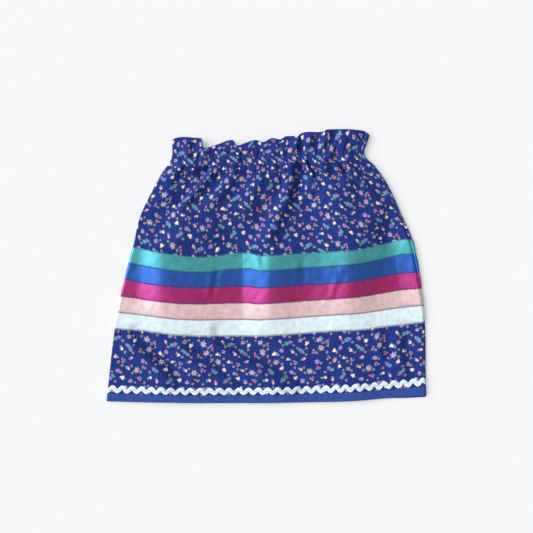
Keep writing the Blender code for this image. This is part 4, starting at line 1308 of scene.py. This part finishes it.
def sew_on(piece, side, solid, slot, flat, held="laid", **more):
    """The piece stands for its solid. The slot, the flat size, the hold and the further details are not used.
    """
    dress(piece, f"{side}_{solid}", slot=slot)
    return piece


def running_total(steps):
    """The distance from the start at each point of a line, given the steps between them."""
    return np.concatenate([[0.0], np.cumsum(steps)])


def panel_places(grid):
    """The print's places over a panel: along each course from its middle, and down the skirt."""
    nearness = bell(grid.rows[:, None] - grid.rows[None, :], PLACES_BLEND)
    lengths = nearness @ grid.lengths / nearness.sum(axis=1, keepdims=True)
    natural = lengths[:, -1:]
    width = PRINT_FANS * natural + (1 - PRINT_FANS) * grid.lengths[-1, -1]
    u = (lengths / natural - 0.5) * width
    down = running_total(np.linalg.norm(np.diff(grid.points, axis=0), axis=2).mean(axis=1))
    return np.stack([u, np.broadcast_to(-down[:, None], u.shape)], axis=2)


def add_panel(side, material):
    """One panel of printed cotton as thin closed cloth."""
    grid = surface(side)
    thickness = bpy.context.scene.skirt_cloth.cotton_thickness / METRES
    inner = grid.points - grid.normals * thickness
    piece = cloth_shell(f"{side}_cotton_panel", grid.points, inner, grid.side, panel_places(grid), material)
    return dress(piece, f"{side}_panel", slot="print_cotton")


def flat_length(side, down):
    """The length of a strip sewn along a course, in metres."""
    return round(surface(side).course_length(down) * METRES, 4)


def add_ribbon(side, name, top, foot, material):
    """A satin ribbon on a panel, puckered a little where it is stitched."""
    grid = surface(side)
    cloth, sewing = bpy.context.scene.skirt_cloth, bpy.context.scene.skirt_sewing
    thickness, gap = cloth.ribbon_thickness / METRES, cloth.ribbon_gap / METRES
    pucker_pitch, pitch = cloth.pucker_pitch / METRES, sewing.zigzag_pitch / METRES
    count = 2 * grid.count - 1 if side == "front" else grid.count
    columns = np.linspace(0.0, grid.count - 1, count)
    is_last = name == RIBBONS[-1][0]
    above, below = top + gap / 2, foot - gap / 2 + (0.0 if is_last else UNDER_NEXT)
    edge = np.array(EDGE_ROWS)
    middle = np.linspace(above + MIDDLE_FROM, below - MIDDLE_FROM, MIDDLE_ROWS)
    downs = np.concatenate([above + edge, middle, below - edge[::-1]])
    down_grid, column_grid = np.meshgrid(downs, columns, indexing="ij")

    # The stitches draw in its top edge between them, and the lowest ribbon's foot
    for down, most in ((foot, -BITES["lowest"] if is_last else 0.0), (top, BITES[name])):
        lengths = np.interp(columns, np.arange(grid.count), grid.lengths[grid.row_at(down)])
        between = 0.5 - 0.5 * np.cos(math.tau * (lengths - FIRST_STITCH) / pitch)
        bite = most * between ** BITE_SHARPNESS
        down_grid = down_grid + np.exp(-np.abs(downs - down) / BITE_REACH)[:, None] * bite[None, :]

    # It rises to its thickness and a soft crown, with puckers at its edges and ripples in its middle
    off_edge = np.minimum(downs - above, below - downs)
    rounded = np.clip(off_edge / EDGE_ROUND, 0.0, 1.0)
    rise = np.sqrt(rounded) * thickness + CROWN * smooth_step(*CROWN_FROM, off_edge)
    wander, over = PUCKERS_WANDER
    pucker = 0.5 + 0.5 * np.sin(math.tau * lengths / pucker_pitch + wander * np.sin(lengths / over))
    weaker, over = PUCKERS_FADE
    pucker = pucker * (1 - weaker + weaker * np.sin(lengths / over + top))
    stitched = np.exp(-off_edge / PUCKER_REACH) * rounded
    outs = OVER_PANEL[0] + rise[:, None] + PUCKER_HEIGHT * pucker[None, :] * stitched[:, None]
    all_lengths = np.broadcast_to(lengths, down_grid.shape)
    down_row = down_grid.ravel()
    ripple = undulation(all_lengths.ravel() + RIPPLE_LEAN * down_row, RIPPLE_DOWN * down_row + RIPPLE_SEED,
                        RIPPLE_LENGTH, top)
    inward = smooth_step(*RIPPLE_FROM, off_edge)[:, None]
    outs = outs + RIPPLE_HEIGHT * (1 + ripple.reshape(outs.shape)) * inward
    outer = grid.at(down_grid, column_grid, outs)
    inner = grid.at(down_grid, column_grid, OVER_PANEL[1])
    places = np.stack([all_lengths, down_grid - above], axis=2)
    piece = cloth_shell(f"{side}_{name}_ribbon_strip", outer, inner, grid.side, places, material)
    flat = (flat_length(side, top), round((below - above) * METRES, 4))
    return sew_on(piece, side, f"ribbon_{name}", f"{name}_satin", flat)


def add_rickrack(side, material):
    """A waved braid: its outer bends are round and wide, its inner bends close and sharp."""
    grid = surface(side)
    length = grid.course_length(RICKRACK_DOWN)
    waves = round(length / RICKRACK_PITCH)
    along = np.linspace(0.0, length, waves * BRAID_STATIONS[side] + 1)
    turn = math.tau * waves / length
    swing = (RICKRACK_HEIGHT - BRAID_SWING_LESS - RICKRACK_WIDTH) / 2
    phase = turn * along + BRAID_START
    slope = swing * turn * np.cos(phase)
    share = np.array(BRAID_SHARES)
    sides = (RICKRACK_WIDTH / 2 * share)[:, None]
    rib, ribs = BRAID_RIBS
    profile = BRAID_MIDDLE + BRAID_CROWN * np.sqrt(1 - share ** 2) - rib * np.cos(math.tau * ribs * share)
    profile[[0, -1]] = BRAID_EDGE
    lengths = along[None, :] - sides * BRAID_FAN * slope[None, :]
    downs = RICKRACK_DOWN + swing * np.sin(phase)[None, :] + sides
    columns = grid.columns_at(grid.row_at(RICKRACK_DOWN), lengths)
    outer = grid.at(downs, columns, profile[:, None])
    inner = grid.at(downs, columns, UNDERSIDE)
    places = np.stack([np.broadcast_to(along, downs.shape), np.broadcast_to(sides, downs.shape)], axis=2)
    piece = cloth_shell(f"{side}_rickrack_braid", outer, inner, grid.side, places, material)
    flat = (round(length * METRES, 4), RICKRACK_HEIGHT * METRES)
    area = round(length * RICKRACK_WIDTH * METRES * METRES, 6)
    return sew_on(piece, side, "rickrack", "rickrack_braid", flat, area=area)


def add_hem_band(side, material):
    """The band that binds the hem: down the outside, round the fold and up inside."""
    grid = surface(side)
    cloth = bpy.context.scene.skirt_cloth
    band, cotton = cloth.band_thickness / METRES, cloth.cotton_thickness / METRES
    out = BAND_OFF + band
    edge_height, edge_run = BAND_EDGE
    first, last, rows = BAND_FLAT
    downs = [BAND_TOP + edge_run, *np.linspace(BAND_TOP + first, PANEL_END - last, rows)]
    outer_path = [(BAND_TOP, edge_height)] + [(down, out) for down in downs]
    inner_path = [(down, UNDERSIDE) for down in (BAND_TOP, *downs)]
    fold, middle = HEM - PANEL_END, -cotton / 2
    for angle in np.radians(np.linspace(*BAND_ROUND)):
        run, rise = math.cos(angle), math.sin(angle)
        bulge = (out - middle) * (1 + BAND_BULGE * run)
        outer_path.append((PANEL_END + fold * run, middle + bulge * rise))
        inner_path.append((PANEL_END + BAND_INNER_FOLD * fold * run, middle + (UNDERSIDE - middle) * rise))
    under = cotton + BAND_OFF
    outer_path.append((PANEL_END - BAND_INSIDE, -under - band))
    inner_path.append((PANEL_END - BAND_INSIDE, -under))

    columns = np.arange(grid.count, dtype=float)
    faces = []
    for path in (outer_path, inner_path):
        downs, outs = (np.array(values)[:, None] + 0 * columns for values in zip(*path))
        faces.append(grid.at(downs, np.broadcast_to(columns, downs.shape), outs))
    outer, inner = faces
    down = running_total(np.linalg.norm(np.diff(outer, axis=0), axis=2).mean(axis=1))
    places = np.stack(np.broadcast_arrays(grid.lengths[-1], down[:, None]), axis=2)
    piece = cloth_shell(f"{side}_hem_band_cloth", outer, inner, grid.side, places, material)
    flat = (flat_length(side, HEM), round(float(down[-1]) * METRES, 4))
    return sew_on(piece, side, "hem_band", "hem_cotton", flat, held="folded")


def model_stitch():
    """One stitch of unit length and thickness, modelled once: a thread whose ends dive into the cloth."""
    if "stitch" in _made:
        return _made["stitch"]
    deselect_all()
    bpy.ops.mesh.primitive_cylinder_add(vertices=STITCH_SIDES, radius=1.0, depth=1.0, end_fill_type="NGON")
    stitch = bpy.context.active_object
    bpy.ops.object.mode_set(mode="EDIT")
    bpy.ops.mesh.select_all(action="SELECT")
    bpy.ops.transform.rotate(value=math.pi / 2, orient_axis="Y", center_override=(0.0, 0.0, 0.0))
    for place in (-STITCH_CUT, STITCH_CUT):
        bpy.ops.mesh.select_all(action="SELECT")
        bpy.ops.mesh.bisect(plane_co=(place, 0.0, 0.0), plane_no=(1.0, 0.0, 0.0))
    bpy.ops.object.mode_set(mode="OBJECT")
    points = np.array([vertex.co for vertex in stitch.data.vertices])
    faces = [tuple(face.vertices) for face in stitch.data.polygons]
    bpy.data.objects.remove(stitch, do_unlink=True)
    at_end = np.abs(points[:, 0]) > 0.45
    points[at_end, 1:] *= STITCH_TAPER
    points[at_end, 2] -= STITCH_DIVE
    _made["stitch"] = (points, faces)
    return _made["stitch"]


def lay_stitches(side, what, ends, radius, lift, material, slot):
    """Copies of the stitch on a panel, between starts and ends that are pairs of length along and down."""
    points, faces = model_stitch()
    grid = surface(side)
    starts, run = ends[0], ends[1] - ends[0]
    sideways = np.stack([-run[:, 1], run[:, 0]], axis=1) / np.linalg.norm(run, axis=1, keepdims=True)
    share = points[:, 0] + 0.5
    spots = (starts[:, None] + run[:, None] * share[None, :, None]
             + sideways[:, None] * (points[:, 1] * radius)[None, :, None]).reshape(-1, 2)
    rows = grid.row_at(spots[:, 1])
    columns = np.array([grid.columns_at(row, length) for row, length in zip(rows, spots[:, 0])])
    outs = np.tile(lift + points[:, 2] * radius, len(starts))
    placed = grid.at(spots[:, 1], columns, outs)
    facing = faces if side == "front" else [face[::-1] for face in faces]
    copies = [tuple(copy * len(points) + corner for corner in face)
              for copy in range(len(starts)) for face in facing]
    places = np.stack([spots[:, 0], np.tile(points[:, 1], len(starts))], axis=1)
    return dress(add_mesh(f"{side}_{what}", placed, copies, material, places, sharp=80), slot=slot)


def zigzag(side, down, pitch, width):
    """Starts and ends of the legs of a zigzag along a course."""
    step = pitch / 2
    corners = np.arange(int(surface(side).course_length(down) / step))
    sides = down - ZIGZAG_OVER + width / 2 * np.where(corners % 2 == 0, 1.0, -1.0)
    path = np.stack([FIRST_STITCH + corners * step, sides], axis=1)
    return path[:-1], path[1:]


def running(side, down, stitch, space):
    """Starts and ends of a straight line of stitches along a course."""
    count = int((surface(side).course_length(down) - LINE_END) / (stitch + space))
    along = FIRST_STITCH + np.arange(count) * (stitch + space)
    starts = np.stack([along, np.full(count, down)], axis=1)
    return starts, starts + np.array([stitch, 0.0])


# ---------------------------------------------------------------- settings that a user would change

def length_setting(name, description, default, low, high):
    """A setting in metres."""
    return FloatProperty(name=name, description=description, default=default, min=low, max=high,
                         unit="LENGTH", precision=5)


def colour_setting(name, description, default):
    """A colour setting."""
    return FloatVectorProperty(name=name, description=description, default=default, size=3, min=0.0, max=1.0,
                               subtype="COLOR")


def angle_setting(name, description, degrees, low, high):
    """An angle setting, whose default is given in degrees."""
    return FloatProperty(name=name, description=description, default=math.radians(degrees), min=low, max=high,
                         subtype="ANGLE")


def number_setting(name, description, default, high, subtype="NONE"):
    """A plain number from 0."""
    return FloatProperty(name=name, description=description, default=default, min=0.0, max=high,
                         subtype=subtype)


class SkirtCloth(bpy.types.PropertyGroup):
    """Thicknesses of the cloth and how strongly it creases."""

    cotton_thickness: length_setting("Cotton Thickness", "Thickness of the panels", 0.00042, 0.0001, 0.002)
    ribbon_thickness: length_setting("Ribbon Thickness", "Thickness of the ribbons", 0.00026, 0.0001, 0.001)
    ribbon_gap: length_setting("Ribbon Gap", "Strip of cotton between two ribbons", 0.00015, 0.0, 0.003)
    band_thickness: length_setting("Band Thickness", "Thickness of the hem band", 0.00036, 0.0001, 0.001)
    pucker_pitch: length_setting("Pucker Pitch", "Length of a pucker at a stitched edge", 0.0058, 0.002, 0.02)
    crease_strength: number_setting("Crease Strength", "Depth of the fine creases", 1.0, 2.0, "FACTOR")


class SkirtColours(bpy.types.PropertyGroup):
    """Colours of the cloth and trims."""

    ground: colour_setting("Print Ground", "Ground of the printed cotton", (0.011, 0.031, 0.205))
    dots: colour_setting("Print Dots", "Dots between the motifs", (0.36, 0.32, 0.28))
    teal: colour_setting("Teal Ribbon", "First ribbon", RIBBONS[0][3])
    royal: colour_setting("Royal Ribbon", "Second ribbon", RIBBONS[1][3])
    magenta: colour_setting("Magenta Ribbon", "Third ribbon", RIBBONS[2][3])
    pink: colour_setting("Pink Ribbon", "Fourth ribbon", RIBBONS[3][3])
    white: colour_setting("White Ribbon", "Fifth ribbon", RIBBONS[4][3])
    rickrack: colour_setting("Rickrack", "The waved braid near the hem", (0.84, 0.97, 0.99))
    hem: colour_setting("Hem Band", "The plain band at the hem", (0.020, 0.068, 0.31))


class SkirtSewing(bpy.types.PropertyGroup):
    """Sizes of the stitches."""

    zigzag_pitch: length_setting("Zigzag Pitch", "Length of one zigzag along a ribbon", 0.0039, 0.002, 0.01)
    zigzag_width: length_setting("Zigzag Width", "Width of the zigzag", 0.0021, 0.001, 0.006)
    straight_stitch: length_setting("Straight Stitch", "Length of a straight stitch", 0.0026, 0.001, 0.006)
    thread_radius: length_setting("Thread Radius", "Half the thread's thickness", 0.00040, 0.00005, 0.0005)


class SkirtStage(bpy.types.PropertyGroup):
    """The table, the lights and the view."""

    camera_height: length_setting("Camera Height", "Height of the camera over the table", 1.6, 0.5, 5.0)
    field: length_setting("Field", "Width of the table that the camera sees", 0.7196, 0.2, 3.0)
    key_strength: number_setting("Key Light", "Strength of the large soft light on the left", 3.4, 50.0)
    key_height: angle_setting("Key Light Height", "Angle of the light over the table", 36.0, 0.1, 1.57)
    key_side: angle_setting("Key Light Side", "Angle of the lights round the skirt", 166.0, -3.15, 3.15)
    key_softness: angle_setting("Key Light Softness", "How wide the light looks from below", 48.0, 0.01, 1.5)
    top_strength: number_setting("Top Light", "Strength of the higher, narrower light", 0.6, 50.0)
    top_height: angle_setting("Top Light Height", "Angle of the top light over the table", 66.0, 0.1, 1.57)
    room_light: number_setting("Room Light", "Strength of the light from all round", 0.26, 3.0, "FACTOR")


# ---------------------------------------------------------------- operators

def add_to_both(add, *details):
    """Adds one piece to the front and the same to the back."""
    for side in SIDES:
        add(side, *details)


class RIBBONSKIRT_OT_panels(bpy.types.Operator):
    """Add the front and back panels of printed cotton, gathered at the waist"""

    bl_idname = "ribbon_skirt.panels"
    bl_label = "Printed Panels"

    def execute(self, context):
        add_to_both(add_panel, print_finish())
        return {"FINISHED"}


class RIBBONSKIRT_OT_ribbons(bpy.types.Operator):
    """Add the five satin ribbons of each panel"""

    bl_idname = "ribbon_skirt.ribbons"
    bl_label = "Satin Ribbons"

    def execute(self, context):
        top = RIBBONS_TOP
        for name, width, gloss, _ in RIBBONS:
            colour = getattr(context.scene.skirt_colours, name)
            add_to_both(add_ribbon, name, top, top + width, satin_finish(name, colour, gloss, width))
            top += width
        return {"FINISHED"}


class RIBBONSKIRT_OT_rickrack(bpy.types.Operator):
    """Add the row of rickrack near the hem of each panel"""

    bl_idname = "ribbon_skirt.rickrack"
    bl_label = "Rickrack"

    def execute(self, context):
        add_to_both(add_rickrack, braid_finish())
        return {"FINISHED"}


class RIBBONSKIRT_OT_hem_bands(bpy.types.Operator):
    """Add the plain band that binds the hem of each panel"""

    bl_idname = "ribbon_skirt.hem_bands"
    bl_label = "Hem Bands"

    def execute(self, context):
        add_to_both(add_hem_band, plain_cotton_finish("hem cotton", context.scene.skirt_colours.hem))
        return {"FINISHED"}


class RIBBONSKIRT_OT_sewing(bpy.types.Operator):
    """Add the zigzags along the ribbons and the straight stitches of the casing and the rickrack"""

    bl_idname = "ribbon_skirt.sewing"
    bl_label = "Sewing"

    def execute(self, context):
        sewing = context.scene.skirt_sewing
        radius, straight = sewing.thread_radius / METRES, sewing.straight_stitch / METRES
        pitch, width = sewing.zigzag_pitch / METRES, sewing.zigzag_width / METRES
        navy = thread_finish("navy", context.scene.skirt_colours.ground, 0.7)
        grey = thread_finish("pale blue", (0.46, 0.60, 0.74))
        # the darker thread colours are partly painted shade of the stitch holes along the ribbons' edges
        threads = {name: thread_finish(name, colour) for name, colour in THREAD_COLOURS_WITH_HOLE_SHADE.items()}
        names = [row[0] for row in RIBBONS]
        tops = RIBBONS_TOP + running_total([row[1] for row in RIBBONS])
        tops[-1] += 2 * ZIGZAG_OVER
        for side in SIDES:
            for name, slot, down in zip((*names, "lowest"), (*names, names[-1]), tops):
                ends = zigzag(side, down, pitch, width)
                lay_stitches(side, f"{name}_zigzag", ends, radius, LIFTS["ribbon"], threads[name],
                             f"{slot}_satin")
            line = running(side, RICKRACK_DOWN, straight, SPACES["rickrack"])
            lay_stitches(side, "rickrack_stitches", line, radius, LIFTS["rickrack"], grey, "rickrack_braid")
            lines = [running(side, down, straight, SPACES["casing"]) for down, _ in TUCK_LINES]
            ends = [np.concatenate(parts) for parts in zip(*lines)]
            lay_stitches(side, "casing_stitches", ends, radius, LIFTS["casing"], navy, "print_cotton")
        return {"FINISHED"}


class RIBBONSKIRT_OT_declare(bpy.types.Operator):
    """Work out the length of each panel's hem course, which is not used further"""

    bl_idname = "ribbon_skirt.declare"
    bl_label = "State the Cut"

    def execute(self, context):
        for side in SIDES:
            width = flat_length(side, HEM)
        return {"FINISHED"}


TABLE_SIZE = 14.0
TABLE_BELOW = 0.0002       # how far the table lies under the cloth, so that the two never share a plane
LIGHTS_AT = (1.2, 0.5, 1.6)
LIGHT_COLOUR = (0.99, 0.985, 1.0)
ROOM_COLOUR = (0.96, 0.98, 1.0, 1.0)
SEEN_COLOUR = (0.92, 0.93, 0.94, 1.0)


class RIBBONSKIRT_OT_stage(bpy.types.Operator):
    """Add the table, the soft lights and the camera straight above the skirt"""

    bl_idname = "ribbon_skirt.stage"
    bl_label = "Table, Lights and Camera"

    def execute(self, context):
        stage = context.scene.skirt_stage
        deselect_all()
        bpy.ops.mesh.primitive_plane_add(size=TABLE_SIZE, location=(0.0, 0.0, -TABLE_BELOW))
        table = context.active_object
        table.name = "table"
        table.data.materials.append(floor_finish())

        lights = (
            ("key light", stage.key_strength, stage.key_height, stage.key_softness),
            ("top light", stage.top_strength, stage.top_height, 0.5 * stage.key_softness),
        )
        for name, strength, height, softness in lights:
            deselect_all()
            turn = (0.0, math.pi / 2 - height, stage.key_side)
            bpy.ops.object.light_add(type="SUN", location=LIGHTS_AT, rotation=turn)
            light = context.active_object
            light.name = name
            light.data.energy = strength
            light.data.angle = softness
            light.data.color = LIGHT_COLOUR

        world = bpy.data.worlds.new("soft room")
        context.scene.world = world
        world.use_nodes = True
        graph = Nodes(world.node_tree)
        background = world.node_tree.nodes["Background"]
        background.inputs["Color"].default_value = ROOM_COLOUR
        background.inputs["Strength"].default_value = stage.room_light
        seen = graph.add("ShaderNodeBackground", {"Color": SEEN_COLOUR, "Strength": 1.0})
        camera_ray = graph.add("ShaderNodeLightPath").outputs["Is Camera Ray"]
        both = graph.add("ShaderNodeMixShader", {0: camera_ray, 1: background.outputs[0], 2: seen.outputs[0]})
        graph.feed(world.node_tree.nodes["World Output"].inputs["Surface"], both.outputs[0])

        deselect_all()
        bpy.ops.object.camera_add(location=(0.0, 0.0, stage.camera_height))
        camera = context.active_object
        camera.name = "camera above"
        camera.data.sensor_fit = "HORIZONTAL"
        camera.data.angle = 2 * math.atan(stage.field / 2 / stage.camera_height)
        context.scene.camera = camera
        context.scene.view_settings.view_transform = "Standard"
        return {"FINISHED"}


class RIBBONSKIRT_PT_panel(bpy.types.Panel):
    """Lists the pieces of the skirt in the sidebar"""

    bl_idname = "RIBBONSKIRT_PT_panel"
    bl_label = "Ribbon Skirt"
    bl_space_type = "VIEW_3D"
    bl_region_type = "UI"
    bl_category = "Ribbon Skirt"

    def draw(self, context):
        for group in SETTINGS.values():
            settings = getattr(context.scene, group)
            box = self.layout.box()
            for name in settings.bl_rna.properties.keys():
                if name not in ("rna_type", "name"):
                    box.prop(settings, name)
        for operator in OPERATORS:
            self.layout.operator(operator.bl_idname)


SETTINGS = {
    SkirtCloth: "skirt_cloth",
    SkirtColours: "skirt_colours",
    SkirtSewing: "skirt_sewing",
    SkirtStage: "skirt_stage",
}

OPERATORS = (
    RIBBONSKIRT_OT_panels,
    RIBBONSKIRT_OT_ribbons,
    RIBBONSKIRT_OT_rickrack,
    RIBBONSKIRT_OT_hem_bands,
    RIBBONSKIRT_OT_sewing,
    RIBBONSKIRT_OT_declare,
    RIBBONSKIRT_OT_stage,
)


def register():
    """Adds the settings, the operators and the sidebar panel."""
    for group, name in SETTINGS.items():
        bpy.utils.register_class(group)
        setattr(bpy.types.Scene, name, PointerProperty(type=group))
    for operator in OPERATORS:
        bpy.utils.register_class(operator)
    bpy.utils.register_class(RIBBONSKIRT_PT_panel)


def unregister():
    """Takes them away again."""
    bpy.utils.unregister_class(RIBBONSKIRT_PT_panel)
    for operator in reversed(OPERATORS):
        bpy.utils.unregister_class(operator)
    for group, name in SETTINGS.items():
        delattr(bpy.types.Scene, name)
        bpy.utils.unregister_class(group)


def main():
    """Makes every piece in order."""
    register()
    for operator in OPERATORS:
        section, name = operator.bl_idname.split(".")
        getattr(getattr(bpy.ops, section), name)()


if __name__ == "__main__":
    main()
